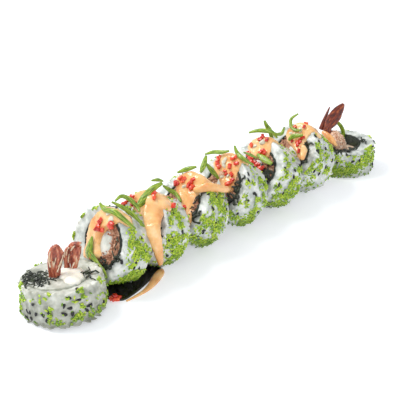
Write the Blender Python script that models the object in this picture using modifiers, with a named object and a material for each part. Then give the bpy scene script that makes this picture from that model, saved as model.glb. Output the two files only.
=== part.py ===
"""A row of eight inside-out rolls: leaning slices between two upright end pieces, with sauce and toppings.

The row runs along X. Each slice is a cylinder of rice round a ring of nori and its filling. Lengths in the
tables below are millimetres, and mm() turns them into Blender's metres.
"""

import math
import random
from dataclasses import dataclass

import bmesh
import bpy
from mathutils import Matrix, Vector, noise

for old in list(bpy.data.objects):
    bpy.data.objects.remove(old)


def mm(*lengths):
    """Millimetres as metres: one number, or a vector of three."""
    return lengths[0] * 0.001 if len(lengths) == 1 else Vector(lengths) * 0.001


# Driving dimensions.
GAP = mm(0.3)
NORI = mm(0.7)
RIM = mm(1.6)
FACETS = 26
SIDES = 24
ROUGHNESS = mm(0.8)
SAUCE = mm(1.9)
FOLD_SWELL = mm(0.7)
DIE = mm(2.4)
ROW_SHIFT = mm(3.3, 2.137, 0.0)
FILLING_FACETS = 18
PRAWN_FACETS = 12
NORI_BELOW_RICE = mm(0.2)
NORI_ABOVE_BASE = mm(0.9)
CREAM_MOUND = mm(1.6)
HOLLOW_DEPTH = mm(8.5)
SEEDS_A_SLICE = 12
SEED_SHAPES = (mm(1.6, 1.0, 0.8), mm(2.3, 1.9, 1.1), mm(2.7, 1.3, 0.8))
SEED_SPACING = mm(6)
SEED_TO_TABLE = mm(3.5)
SEED_TO_SLICE = mm(2.2)
BESIDE_LAST_RUN = mm(118, -8, 20)


@dataclass(frozen=True)
class Slice:
    """One slice: centre in plan, rise of its cut face above the horizontal, radius, thickness, and filling.

    The filling's place is (across, up, radius) in the cut face, where across points to -Y. Bulges are
    (direction round the axis, level, amount), and foot is how far the rim at the base is rounded.
    """

    x: float
    y: float
    rise: float
    radius: float
    thickness: float
    filling: tuple
    prawn: tuple = None
    bulges: tuple = ()
    sink: float = 1.6
    lean: float = 0.0
    foot: float = 1.6

    def centre(self):
        """The slice's middle, low enough that its rim is pressed a little flat on the table."""
        level = self.axes()[2].z
        height = mm(self.radius) * math.sqrt(1 - level ** 2) + mm(self.thickness) / 2 * level
        return mm(self.x, self.y, -self.sink) + Vector((0, 0, height))

    def axes(self):
        """Across, up and out of the cut face; a lean tips all three towards +Y."""
        rise = math.radians(self.rise)
        tip = Matrix.Rotation(-math.radians(self.lean), 3, "X")
        across = tip @ Vector((0, -1, 0))
        out = tip @ Vector((-math.cos(rise), 0, math.sin(rise)))
        return across, out.cross(across), out

    def matrix(self):
        """From the slice's own frame, with Z out of its cut face, to the row's."""
        across, up, out = self.axes()
        turn = Matrix((across, up, out)).transposed().to_4x4()
        return Matrix.Translation(self.centre()) @ turn


SLICES = {
    1: Slice(-143.0, -3.4, 91, 24.6, 22.2, (-1.6, -1.4, 17.6), sink=2.45, lean=5, foot=5.5,
             bulges=((-136, -0.8, 1.6), (40, 0.2, 1.3))),
    2: Slice(-100.6, 0.6, 20, 23.6, 23.0, (3.0, 3.6, 15.8), (5.5, 3.3, 5.0, 8.2)),
    3: Slice(-69.4, -1.3, 30.7, 22.4, 24.7, (1.0, 1.6, 15.2), (2.5, 1.0, 5.2, 7.4)),
    4: Slice(-32.0, -0.8, 37.1, 22.0, 25.9, (0.0, 1.0, 14.4), (1.0, 2.0, 6.0, 5.4)),
    5: Slice(7.9, 0.2, 33.5, 22.2, 26.0, (1.0, 1.0, 14.6), (0.5, 2.5, 5.0, 7.0)),
    6: Slice(45.5, 0.6, 32.5, 22.7, 26.1, (1.0, 1.0, 14.2), (-2.0, 1.0, 5.6, 6.8)),
    7: Slice(83.1, 0.4, 35.1, 22.5, 27.2, (0.0, 1.0, 14.2), (1.5, 1.0, 5.0, 7.2)),
    8: Slice(138.4, 0.2, 87, 22.8, 23.4, (-2.4, -2.4, 16.0), bulges=((50, 0.5, 1.4),), sink=2.8),
}

# Sauce on the cut face of a slice: height, left edge and right edge. Above the rim it folds over the top.
SAUCE_ROWS = {
    2: ((-11, -9, -4.5), (-8, -10.5, 2.5), (-5, -10.6, 5.5), (-1.5, -10.4, 3.2), (3, -10.6, 1.5),
        (8, -10.8, 3), (13, -10.4, 6.5), (17.5, -8, 11), (21.5, -4, 14.5), (26, 0, 15), (30, 3, 13)),
    3: ((-7, 9.5, 17), (-3, 5.5, 18.5), (1, 0, 17), (5, -7.5, 13.5), (9, -12, 12.3), (13, -15, 13.2),
        (17, -12.5, 14), (21, -9, 14.5), (26, -4, 13), (31, 0, 11)),
    4: ((-11, 11.5, 14), (-8.5, 8.5, 14.8), (-5, 5, 13.8), (-1, 1.5, 12), (3, -2.5, 10.7), (7, -8, 10),
        (11.5, -11, 10.2), (16, -12.5, 10.5), (20, -8, 11), (25, -4, 12), (30, 0, 14)),
    5: ((-3, 4, 8.5), (0, 0.5, 11), (4, -4, 11.8), (8, -9.5, 10.8), (12, -12.5, 9.6), (16, -13.2, 9),
        (20, -10, 9), (24.5, -5, 9), (29, -1, 9)),
    6: ((7.5, -8, 0), (9.5, -12, 5), (13, -14.3, 6.3), (17, -13, 5), (21, -10, 4), (25, -6, 4),
        (29, -3, 4.5)),
    7: ((-4, 9, 11), (-1, 7, 11), (3, 1.5, 10.8), (7, -6.5, 9.8), (11, -10, 9.2), (15, -10.5, 8.6),
        (19, -8.5, 10), (23, -4, 12.5), (28, -1, 12), (32, 2, 10)),
}

# Runs of sauce between slices, in the row's frame: points, half widths, and half depth.
RUNS = {
    3: (((-79, -13, 43), (-84.5, -18.5, 39), (-86, -23, 31.5), (-84.5, -23.5, 23.5), (-81.5, -22, 15),
         (-79.8, -20.5, 10.5)), (5.4, 4.8, 4.0, 3.2, 2.3, 1.4), 2.4),
    4: (((-38, -9, 44), (-33, -16, 46), (-26, -18, 43.5), (-17, -17.5, 39.5), (-9, -13.5, 36)),
        (3.0, 3.2, 2.8, 2.5, 2.0), 2.2),
    7: (((73, -9, 41), (69, -14, 40.5), (64, -17, 38.5), (61.5, -18.5, 36)), (3.0, 2.8, 2.2, 1.4), 1.8),
    8: (((122, -5, 25), (121, 0, 28.4), (121.2, 5, 30.8), (122, 9.5, 31.6)), (1.6, 2.4, 2.4, 1.6), 1.5),
}

# Diced pepper on the sauce: across and up in the cut face.
DICE = {
    2: ((-1.2, 15.2), (-2.9, 9.8), (1.4, 11.6), (8.6, 16.5)),
    3: ((-7.6, 11.8), (-10.4, 16.4), (5.0, 20.5), (11.2, 10.5), (-3.4, 6.4)),
    4: ((-6.2, 14.6), (-9.3, 12.0), (-5.0, 17.6), (1.8, 17.4), (3.6, 12.6), (4.5, -2.2)),
    5: ((-9.4, 18.6), (-8.8, 15.2), (-6.2, 11.8), (2.4, 14.2), (1.2, 19.6), (6.4, 17.8), (5.4, 10.2),
        (8.7, 6.0), (4.2, 1.2), (9.0, 0.4)),
    6: ((-5.2, 20.6), (0.2, 21.4), (2.9, 12.8), (-1.2, 11.0), (-10.6, 14.4)),
    7: ((4.2, 9.6), (-1.4, 9.2), (6.6, 12.8), (3.0, 20.2), (8.0, 3.4)),
}

# Scallion shreds in the row's frame: points along the middle, and half widths at its ends and middle.
SHREDS = {
    "a": (((-105.5, 4.16, 53.73), (-106, -0.84, 51.23), (-105.5, -8.34, 52.23),
          (-103.5, -14.84, 48.73), (-99, -19.84, 42.23)), 1.5),
    "b": (((-100.1, -0.54, 54.03), (-97.1, -6.54, 51.53), (-93.1, -12.04, 46.53),
          (-89.1, -17.04, 39.03)), 1.2),
    "c": (((-99.22, -2.6, 54.79), (-94.72, -3.1, 56.79), (-89.72, -4.6, 53.79), (-87.22, -8.6, 49.29),
          (-88.22, -12.1, 47.29)), 1.2),
    "e": (((-62.99, -5.88, 55.79), (-69.49, -3.88, 53.29), (-74.49, -1.88, 48.29),
          (-79.99, -3.88, 46.79), (-84.99, -6.38, 47.79)), 2.2),
    "g": (((-48.38, 8.92, 44.36), (-44.88, 6.92, 40.86), (-41.88, 3.92, 37.86),
          (-43.38, -2.58, 34.86)), 1.3),
    "h": (((-32.95, 11.06, 47.75), (-30.45, 4.96, 51.25), (-26.45, -0.04, 53.25)), 1.4),
    "i": (((-16.87, 0.41, 58.07), (-19.37, -0.59, 54.57), (-22.87, -2.09, 52.07),
          (-26.87, -4.09, 50.57)), 1.6),
    "j": (((-8.6, 8.09, 47.16), (-6.1, 5.09, 42.16), (-2.6, 2.09, 36.16)), 1.5),
    "k": (((1.87, 19.27, 47.51), (4.37, 13.77, 50.01), (5.37, 7.47, 51.51), (7.07, 1.77, 53.51)), 1.3),
    "l": (((10.52, 0.17, 56.83), (9.52, -3.33, 52.83), (8.52, -9.83, 50.83), (14.02, -13.83, 45.83)), 1.3),
    "n": (((41, 14, 53.5), (44, 9, 55.5), (47, 4, 56), (50, 0, 55), (52.5, -2.5, 50.8)), 1.4),
    "o": (((50.5, 8, 61.5), (52, 7, 57.5), (54.5, 6, 53.5), (57, 6.6, 48.6), (60, 7.4, 42.6)), 1.5),
    "q": (((36.24, 1.63, 42.08), (35.24, -5.37, 41.08), (34.74, -12.87, 39.58)), 2.1),
    "r": (((86.83, 6.42, 57.09), (83.33, 9.92, 53.09), (79.83, 6.92, 49.09), (79.13, 1.92, 47.69),
          (79.33, -2.58, 49.09)), 1.2),
    "s": (((72.99, 3.4, 41.2), (74.49, 0.4, 44.7), (75.99, -7.1, 47.3)), 1.6),
}
SHRED_DEPTH = 0.45

# The broad shred on the second slice, in its cut face: across, up, half width.
BROAD_SHRED = ((-3.4, 4.6, 0.7), (-3.8, -1.0, 2.6), (-3.2, -6.0, 3.4), (1.8, -7.6, 1.9), (7.1, -10.0, 1.6),
               (12.6, -12.0, 1.3), (16.4, -15.0, 0.8))

# The two crisp legs on the first slice, each of two strands: across the view, height above the foot, depth
# towards the viewer and half width; then the foot's place.
LEGS = {
    "left": ((((-2.0, 0, 1.0, 1.9), (-2.0, 8, 0.8, 2.0), (-1.8, 15, 0.2, 2.1), (0.4, 20, -0.4, 2.2)),
              ((0.9, 0.2, 1.6, 1.9), (1.6, 7, 1.2, 2.2), (3.3, 13, 0.4, 2.3), (3.2, 17.5, -0.2, 2.3),
               (1.0, 20.4, -0.6, 2.0))), (-145.7, -1.1)),
    "right": ((((-2.2, 0.4, 0.2, 1.7), (-2.4, 7, -0.4, 1.9), (-1.6, 13, -0.8, 2.2), (1.8, 17.6, -0.8, 2.3),
                (5.6, 18.6, -0.4, 1.9)),
               ((1.0, 0.4, 1.0, 1.8), (2.4, 6.5, 0.8, 2.3), (4.0, 12, 0.2, 2.5), (4.9, 17.0, -0.4, 2.0))),
              (-135.3, -2.9)),
}
LEG_FOOT_HEIGHT = 21.6
VIEW_ACROSS = Vector((0.69, -0.72, 0))
VIEW_TOWARDS = Vector((-0.72, -0.69, 0))

GLAZE = ((-106, 3), (-118, -9), (-117.5, -17), (-113, -22.5), (-104, -22), (-95, -20), (-84, -16.5),
         (-76, -13), (-68, -10), (-62, -8), (-62, 4), (-84, 8))
GLAZE_DEPTH = mm(0.9)

# The smear of sauce at the pool's edge: place in the row and half width. Its height follows its width.
SMEAR = ((-112, -24.6, 0.7), (-104, -24.8, 1.1), (-96, -24.0, 1.7), (-88, -21.4, 2.6),
         (-81, -18.0, 3.2), (-75, -15.0, 2.8), (-71.5, -12.9, 1.0))
SPILT_DICE = ((-117.2, -18.6), (-115.3, -19.8), (-114.2, -17.6))

# The prawn tail in the last slice: place in the row and half width along each strip, and its half depth.
TAIL_STRIPS = {
    "blade": (((126.5, 9, 32.5, 2.2), (129.5, 8.8, 36, 4.2), (134, 8.5, 40, 5.2), (139, 8.2, 44, 4.4),
               (143, 8, 47, 2.6), (145, 8, 48.6, 1.2)), 1.0),
    "spine": (((124.5, 13.0, 32.0, 1.8), (128, 13.5, 36.5, 1.7), (132, 14, 41.5, 1.2),
               (136, 14.2, 47, 0.5)), 0.7),
    "base": (((128.5, 6.5, 27.0, 2.8), (127.5, 8.5, 30.5, 3.2), (128.0, 9.5, 34, 3.0)), 2.2),
}
GREEN_STRIP = ((143.0, 10.5, 33), (146, 9.5, 29.5), (148.2, 8.5, 24), (147.6, 7.6, 15.8))
MOUND_PLACE = mm(130.3, 3.6, 17.0)
MOUND_RADII = mm(8.6, 11.0, 14.5)

part = bpy.data.collections.new("uramaki_roll")
cutters = bpy.data.collections.new("cutters")
bpy.context.scene.collection.children.link(part)
bpy.context.scene.collection.children.link(cutters)
row = bpy.data.objects.new("row", None)
row.location = ROW_SHIFT
part.objects.link(row)


def finish(name, colour, roughness):
    """A plain material with one colour."""
    material = bpy.data.materials.new(name)
    material.use_nodes = True
    shader = material.node_tree.nodes["Principled BSDF"]
    shader.inputs["Base Color"].default_value = (*colour, 1)
    shader.inputs["Roughness"].default_value = roughness
    material.diffuse_color = (*colour, 1)
    return material


RICE = finish("cooked_rice", (0.80, 0.81, 0.79), 0.4)
SEAWEED = finish("nori", (0.02, 0.03, 0.015), 0.4)
CRUST = finish("fried_crust", (0.36, 0.17, 0.07), 0.7)
PRAWN = finish("prawn", (0.78, 0.75, 0.68), 0.4)
CREAM = finish("cream_cheese", (0.92, 0.89, 0.80), 0.5)
CRISP = finish("crisp_prawn_leg", (0.42, 0.13, 0.06), 0.5)
TAIL = finish("prawn_tail", (0.28, 0.05, 0.015), 0.35)
SAUCE_FINISH = finish("orange_sauce", (0.86, 0.50, 0.22), 0.3)
SCALLION = finish("scallion", (0.20, 0.38, 0.06), 0.4)
DARK_GLAZE = finish("dark_glaze", (0.012, 0.010, 0.008), 0.2)


def mesh_object(name, mesh, material, collection=part):
    """A named object for a mesh, in the row."""
    piece = bpy.data.objects.new(name, mesh)
    mesh.materials.clear()
    mesh.materials.append(material)
    mesh.shade_smooth()
    mesh.set_sharp_from_angle(angle=math.radians(40))
    collection.objects.link(piece)
    piece.parent = row
    piece.hide_render = collection is cutters
    return piece


def from_bmesh(name, shape, material, collection=part):
    """An object for a finished bmesh, with its faces turned outward."""
    bmesh.ops.recalc_face_normals(shape, faces=shape.faces)
    mesh = bpy.data.meshes.new(name)
    shape.to_mesh(mesh)
    shape.free()
    return mesh_object(name, mesh, material, collection)


def applied(piece):
    """The piece with its modifiers made part of its mesh."""
    graph = bpy.context.evaluated_depsgraph_get()
    mesh = bpy.data.meshes.new_from_object(piece.evaluated_get(graph))
    piece.modifiers.clear()
    piece.data = mesh
    return piece


def turned(name, profile, steps, material, collection=part):
    """A solid turned about Z from (radius, height) points that run down its outer side."""
    shape = bmesh.new()
    points = [shape.verts.new((radius, 0, height)) for radius, height in profile]
    closed = profile[0][0] > 0
    for start, end in zip(points, points[1:] + points[:1] if closed else points[1:]):
        shape.edges.new((start, end))
    mesh = bpy.data.meshes.new(name)
    shape.to_mesh(mesh)
    shape.free()
    piece = mesh_object(name, mesh, material, collection)
    screw = piece.modifiers.new("turn", "SCREW")
    screw.steps = screw.render_steps = steps
    screw.use_merge_vertices = True
    screw.merge_threshold = 0.0001
    return applied(piece)


def cut(piece, *tools):
    """Cuts the tools out of the piece."""
    for tool in tools:
        boolean = piece.modifiers.new("cut", "BOOLEAN")
        boolean.operation = "DIFFERENCE"
        boolean.object = tool
    bpy.context.view_layer.update()
    applied(piece)
    return piece


def joined(piece, extras):
    """The piece with loose shapes joined on by one union; the shapes are then removed."""
    together = bpy.data.collections.new("extras")
    cutters.children.link(together)
    for extra in extras:
        cutters.objects.unlink(extra)
        together.objects.link(extra)
    union = piece.modifiers.new("join", "BOOLEAN")
    union.operation = "UNION"
    union.operand_type = "COLLECTION"
    union.collection = together
    bpy.context.view_layer.update()
    applied(piece)
    for extra in extras:
        bpy.data.objects.remove(extra)
    bpy.data.collections.remove(together)
    return largest_body(piece)


def largest_body(piece):
    """Drops the loose scraps that a union or a cut leaves."""
    shape = bmesh.new()
    shape.from_mesh(piece.data)
    bodies = []
    left = set(shape.verts)
    while left:
        body, edge = set(), {left.pop()}
        while edge:
            body |= edge
            edge = {e.other_vert(v) for v in edge for e in v.link_edges} - body
        left -= body
        bodies.append(body)
    keep = max(bodies, key=len)
    bmesh.ops.delete(shape, geom=[v for v in shape.verts if v not in keep], context="VERTS")
    shape.to_mesh(piece.data)
    shape.free()
    return piece


def rod(name, place, radius_u, radius_v, low, high, sides=18, material=RICE, collection=cutters):
    """A straight oval rod along Z, as a cutter unless it is given a collection."""
    shape = bmesh.new()
    bmesh.ops.create_cone(shape, cap_ends=True, segments=sides, radius1=1, radius2=1, depth=1)
    size = Matrix.Diagonal((radius_u, radius_v, high - low, 1))
    move = Matrix.Translation((*place, (low + high) / 2))
    bmesh.ops.transform(shape, matrix=move @ size, verts=shape.verts)
    return from_bmesh(name, shape, material, collection)


def smooth_path(points, steps):
    """Points on a smooth curve through the given ones, which may carry further numbers such as a width."""
    ends = [points[0], *points, points[-1]]
    found = []
    for i in range(len(points) - 1):
        a, b, c, d = (Vector(p) for p in ends[i:i + 4])
        for step in range(steps):
            t = step / steps
            bend = 2 * a - 5 * b + 4 * c - d + t * (3 * b - 3 * c + d - a)
            found.append(b + t / 2 * (c - a + t * bend))
    return found + [Vector(points[-1])]


def loft(name, path, half_widths, half_depths, facing, sides, material, collection=part):
    """A closed solid of oval sections along a path; its flat side looks along facing."""
    shape = bmesh.new()
    rings = []
    for i, point in enumerate(path):
        along = (path[min(i + 1, len(path) - 1)] - path[max(i - 1, 0)]).normalized()
        across = along.cross(facing).normalized()
        out = across.cross(along)
        ring = []
        for k in range(sides):
            angle = math.tau * (k + 0.5) / sides
            offset = across * half_widths[i] * math.cos(angle) + out * half_depths[i] * math.sin(angle)
            ring.append(shape.verts.new(point + offset))
        rings.append(ring)
    for low, high in zip(rings, rings[1:]):
        for k in range(sides):
            shape.faces.new((low[k - 1], low[k], high[k], high[k - 1]))
    shape.faces.new(rings[0])
    shape.faces.new(reversed(rings[-1]))
    bmesh.ops.triangulate(shape, faces=shape.faces)
    return from_bmesh(name, shape, material, collection)


def rice_profile(radius, half, foot):
    """Down the outer side of a slice with softened rims, from axis to axis."""
    corner = foot * 0.293
    middle = ((radius - corner, corner - half),) if foot > RIM else ()
    return ((0, half), (radius - RIM, half), (radius, half - RIM), (radius, half * 0.28),
            (radius, -half * 0.28), (radius, foot - half), *middle, (radius - foot, -half), (0, -half))


def roughen(piece, number, size):
    """Packed grains: every point goes a little inward, and bulges go outward where the slice is misshapen."""
    radius, half = mm(size.radius), mm(size.thickness) / 2
    for vertex in piece.data.vertices:
        place = vertex.co
        reach = math.hypot(place.x, place.y)
        if reach < radius / 2:
            continue
        grain = 0.5 + 0.5 * noise.noise(place * 420 + Vector((number * 7.1, 0, 0)))
        inward = ROUGHNESS * grain * reach / radius
        for direction, level, amount in size.bulges:
            angle = math.atan2(place.y, place.x) - math.radians(direction)
            turn = math.atan2(math.sin(angle), math.cos(angle))
            inward -= mm(amount) * math.exp(-(turn / 0.6) ** 2 - ((place.z / half - level) / 0.7) ** 2)
        vertex.co.x *= 1 - inward / reach
        vertex.co.y *= 1 - inward / reach
        vertex.co.z *= 1 - 0.5 * ROUGHNESS * (1 - grain) / half


def flat_below(piece, matrix):
    """Presses everything that would reach below the table flat onto it."""
    back = matrix.inverted()
    for vertex in piece.data.vertices:
        place = matrix @ vertex.co
        if place.z < 0:
            place.z = 0
            vertex.co = back @ place


def near_other_slice(place, number, margin):
    """Whether a place in the row is inside or close to a slice other than this one."""
    for other, size in SLICES.items():
        if other == number:
            continue
        local = size.matrix().inverted() @ place
        inside_round = math.hypot(local.x, local.y) < mm(size.radius) + margin
        if inside_round and abs(local.z) < mm(size.thickness) / 2 + margin:
            return True
    return False


def lump(name, place, out, size, material):
    """A grain or seed: a small six-sided solid with a narrower top, half sunk in what carries it."""
    shape = bmesh.new()
    bmesh.ops.create_cone(shape, cap_ends=True, segments=6, radius1=1.1, radius2=0.6, depth=2)
    spin = Matrix.Rotation(place.x * 9000, 4, "Z")
    turn = out.to_track_quat("Z", "Y").to_matrix().to_4x4()
    scale = Matrix.Diagonal((*size, 1))
    bmesh.ops.transform(shape, matrix=Matrix.Translation(place) @ turn @ spin @ scale, verts=shape.verts)
    return from_bmesh(name, shape, material, cutters)


def seeds_for(number, size):
    """Sesame, green roe in clumps and proud grains of rice round the outside of a slice."""
    draw = random.Random(40 + number)
    radius, half = mm(size.radius), mm(size.thickness) / 2
    matrix = size.matrix()
    found = []
    places = []
    upright = abs(math.cos(math.radians(size.rise))) < 0.3
    for _ in range(400):
        if len(found) == SEEDS_A_SLICE:
            break
        angle = draw.uniform(0, math.tau)
        level = draw.uniform(-0.8, 0.8) * half
        out = Vector((math.cos(angle), math.sin(angle), 0))
        place = out * (radius - mm(0.5)) + Vector((0, 0, level))
        under_sauce = not upright and out.y > 0.45
        world = matrix @ place
        if under_sauce or world.z < SEED_TO_TABLE or near_other_slice(world, number, SEED_TO_SLICE):
            continue
        if number == 8 and (world - BESIDE_LAST_RUN).length < mm(12):
            continue
        if any((place - other).length < SEED_SPACING for other in places):
            continue
        under_run = number == 3 and out.x > 0.3 or number == 4 and level > half * 0.1 and out.x > 0.5
        if under_run:
            continue
        places.append(place)
        shape = SEED_SHAPES[len(found) % len(SEED_SHAPES)]
        found.append(lump(f"seed_{number}_{len(found)}", place, out, shape, RICE))
    return found


def placed(piece, matrix):
    """The piece moved from a slice's frame into the row's, with its mesh following."""
    piece.data.transform(matrix)
    return piece


def inflated(number, size, margin):
    """The slice's whole cylinder, a little larger, as a cutter in the row's frame."""
    radius = (mm(size.radius) + margin) / math.cos(math.pi / SIDES)
    half = mm(size.thickness) / 2 + margin
    return placed(rod(f"slice_{number}_space", (0, 0), radius, radius, -half, half, SIDES), size.matrix())


def build_slice(number, size):
    """The rice, nori, crust and prawn of one slice."""
    half = mm(size.thickness) / 2
    matrix = size.matrix()
    across, up, nori_radius = (mm(value) for value in size.filling)
    rice = turned(f"rice_{number}", rice_profile(mm(size.radius), half, mm(size.foot)), FACETS, RICE)
    roughen(rice, number, size)
    flat_below(rice, matrix)
    room = nori_radius + GAP
    hole = rod(f"hole_{number}", (across, up), room, room, -half * 2, half * 2)
    joined(rice, seeds_for(number, size))
    cut(rice, hole)
    bpy.data.objects.remove(hole)
    placed(largest_body(rice), matrix)

    outer, inner = nori_radius, nori_radius - NORI
    top, low = half - NORI_BELOW_RICE, NORI_ABOVE_BASE - half
    profile = ((outer, top), (outer, low), (inner, low), (inner, top))
    nori = turned(f"nori_{number}", profile, FILLING_FACETS, SEAWEED)
    nori.data.transform(Matrix.Translation((across, up, 0)))
    flat_below(nori, matrix)
    placed(nori, matrix)

    filled = inner - GAP
    if size.prawn:
        prawn_across, prawn_up, wide, tall = (mm(value) for value in size.prawn)
        oval = (prawn_across, prawn_up)
        prawn = rod(f"prawn_{number}", oval, wide, tall, low, top + GAP, PRAWN_FACETS, PRAWN, part)
        placed(prawn, matrix)
        disc = ((0, top), (filled, top), (filled, low), (0, low))
        crust = turned(f"crust_{number}", disc, FILLING_FACETS, CRUST)
        crust.data.transform(Matrix.Translation((across, up, 0)))
        socket = rod(f"socket_{number}", oval, wide + GAP, tall + GAP, -half * 2, half * 2, PRAWN_FACETS)
        cut(crust, socket)
        bpy.data.objects.remove(socket)
        placed(crust, matrix)
    return filled


def swollen_copy(piece, margin):
    """A cutter: a copy of the piece with each point moved outward along its normal."""
    shape = bmesh.new()
    shape.from_mesh(piece.data)
    shape.normal_update()
    moves = [vertex.co + vertex.normal * margin for vertex in shape.verts]
    for vertex, place in zip(shape.verts, moves):
        vertex.co = place
    return from_bmesh(f"room_for_{piece.name}", shape, RICE, cutters)


def build_first_filling(filled):
    """Cream cheese with two crisp prawn legs standing in it."""
    size = SLICES[1]
    half = mm(size.thickness) / 2
    across, up, _ = (mm(value) for value in size.filling)
    low = NORI_ABOVE_BASE - half
    profile = ((0, half + CREAM_MOUND), (filled * 0.55, half + CREAM_MOUND * 0.88),
               (filled * 0.88, half + CREAM_MOUND * 0.2), (filled, half - CREAM_MOUND * 0.88),
               (filled, low), (0, low))
    cream = turned("cream_1", profile, FILLING_FACETS, CREAM)
    cream.data.transform(Matrix.Translation((across, up, 0)))
    flat_below(cream, size.matrix())
    placed(cream, size.matrix())
    rooms = []
    for side, (strands, foot) in LEGS.items():
        base = mm(*foot, LEG_FOOT_HEIGHT)
        draw = random.Random(len(side))
        shapes = []
        for points in strands:
            rings = smooth_path(points, 2)
            path = [base + VIEW_ACROSS * mm(a) + VIEW_TOWARDS * mm(d) + mm(0, 0, h) for a, h, d, _ in rings]
            widths = [mm(ring[3]) * draw.uniform(0.9, 1.1) for ring in rings]
            depths = [width * 0.85 for width in widths]
            collection = cutters if shapes else part
            name = f"strand_{side}" if shapes else f"crisp_leg_{side}"
            shapes.append(loft(name, path, widths, depths, VIEW_TOWARDS, 8, CRISP, collection))
            rooms.append(swollen_copy(shapes[-1], GAP))
        joined(shapes[0], shapes[1:])
    cut(cream, *rooms)
    largest_body(cream)


def build_last_filling(filled):
    """A crust that mounds up on one side of an open hollow, the prawn's tail and a green strip."""
    size = SLICES[8]
    half = mm(size.thickness) / 2
    across, up, _ = (mm(value) for value in size.filling)
    floor, low = half - HOLLOW_DEPTH, NORI_ABOVE_BASE - half
    crust = turned("crust_8", ((0, floor), (filled, floor), (filled, low), (0, low)), FILLING_FACETS, CRUST)
    crust.data.transform(Matrix.Translation((across, up, 0)))
    flat_below(crust, size.matrix())
    placed(crust, size.matrix())
    shape = bmesh.new()
    bmesh.ops.create_icosphere(shape, subdivisions=2, radius=1)
    for vertex in shape.verts:
        vertex.co *= 1 + 0.10 * noise.noise(vertex.co * 2.3 + Vector((3, 1, 4)))
    bmesh.ops.transform(shape, matrix=Matrix.Diagonal((*MOUND_RADII, 1)), verts=shape.verts)
    bmesh.ops.rotate(shape, matrix=Matrix.Rotation(math.radians(-12), 3, "Z"), verts=shape.verts)
    bmesh.ops.translate(shape, vec=MOUND_PLACE, verts=shape.verts)
    joined(crust, [from_bmesh("mound", shape, CRUST, cutters)])

    shapes = []
    for name, (points, depth) in TAIL_STRIPS.items():
        rings = smooth_path(points, 2)
        path = [mm(*ring[:3]) for ring in rings]
        depths = [mm(min(depth, ring[3] * 0.8)) for ring in rings]
        collection = part if name == "blade" else cutters
        widths = [mm(ring[3]) for ring in rings]
        shapes.append(loft(name, path, widths, depths, VIEW_TOWARDS, 6, TAIL, collection))
    tail = joined(shapes[0], shapes[1:])
    tail.name = "prawn_tail_8"
    cut(crust, swollen_copy(tail, GAP))
    largest_body(crust)

    path = [mm(*point) for point in smooth_path(GREEN_STRIP, 2)]
    loft("green_strip_8", path, [mm(1.6)] * len(path), [mm(0.4)] * len(path), VIEW_TOWARDS, 4, SCALLION)


def sauce_point(size, across, height, lift):
    """A point on the cut face, or past the rim over the top, lifted off the rice."""
    radius, half = mm(size.radius), mm(size.thickness) / 2
    edge = math.sqrt((radius - RIM) ** 2 - across ** 2)
    if height <= edge:
        return Vector((across, height, half + lift))
    out = Vector((across, edge, 0)).normalized()
    over = height - edge
    quarter = RIM * math.pi / 2
    turn = min(over / quarter, 1) * math.pi / 2
    back = max(over - quarter, 0)
    fold = RIM + lift + (FOLD_SWELL * math.sin(2 * turn) if lift > 0 else 0)
    reach = radius - RIM + fold * math.sin(turn)
    return out * reach + Vector((0, 0, half - RIM + fold * math.cos(turn) - back))


def sauce_sheet(number, size, rows):
    """The sauce on one slice, thin at its edges, folding over the rim."""
    shape = bmesh.new()
    columns = 4
    rows = smooth_path(rows, 3)
    layers = {"low": [], "high": []}
    for i, (height, left, right) in enumerate(rows):
        for name in layers:
            line = []
            for k in range(columns + 1):
                share = k / columns
                swell = math.sin(math.pi * (0.17 + 0.66 * share)) * (0.55 if i in (0, len(rows) - 1) else 1)
                wave = 1 + 0.25 * noise.noise(Vector((share * 3, i * 0.27, number)))
                lift = -GAP if name == "low" else GAP + SAUCE * swell * wave
                across = mm(left + (right - left) * share)
                line.append(shape.verts.new(sauce_point(size, across, mm(height), lift)))
            layers[name].append(line)
    low, high = layers["low"], layers["high"]
    for i in range(len(rows) - 1):
        for k in range(columns):
            shape.faces.new((high[i][k], high[i][k + 1], high[i + 1][k + 1], high[i + 1][k]))
            shape.faces.new((low[i][k], low[i + 1][k], low[i + 1][k + 1], low[i][k + 1]))
        for k in (0, columns):
            shape.faces.new((low[i][k], low[i + 1][k], high[i + 1][k], high[i][k]))
    for i in (0, len(rows) - 1):
        for k in range(columns):
            shape.faces.new((low[i][k], low[i][k + 1], high[i][k + 1], high[i][k]))
    bmesh.ops.triangulate(shape, faces=shape.faces)
    return placed(from_bmesh(f"sauce_{number}", shape, SAUCE_FINISH), size.matrix())


def run_of_sauce(number, collection):
    """A thick run of sauce that hangs between slices."""
    points, widths, depth = RUNS[number]
    rings = smooth_path([(*point, width) for point, width in zip(points, widths)], 2)
    path = [mm(*ring[:3]) for ring in rings]
    half_widths = [mm(ring[3]) for ring in rings]
    depths = [mm(min(depth, ring[3] * 0.9)) for ring in rings]
    return loft(f"sauce_{number}", path, half_widths, depths, VIEW_TOWARDS, 7, SAUCE_FINISH, collection)


def die(number, index, size, across, up):
    """A cube of diced pepper, turned at random, sunk in the sauce."""
    draw = random.Random(number * 31 + index)
    shape = bmesh.new()
    bmesh.ops.create_cube(shape, size=DIE)
    spin = Matrix.Rotation(draw.uniform(0, 3), 4, "Z") @ Matrix.Rotation(draw.uniform(-0.5, 0.5), 4, "X")
    place = Matrix.Translation(sauce_point(size, mm(across), mm(up), GAP + SAUCE * 0.95))
    bmesh.ops.transform(shape, matrix=size.matrix() @ place @ spin, verts=shape.verts)
    return from_bmesh(f"die_{number}_{index}", shape, SAUCE_FINISH, cutters)


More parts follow.
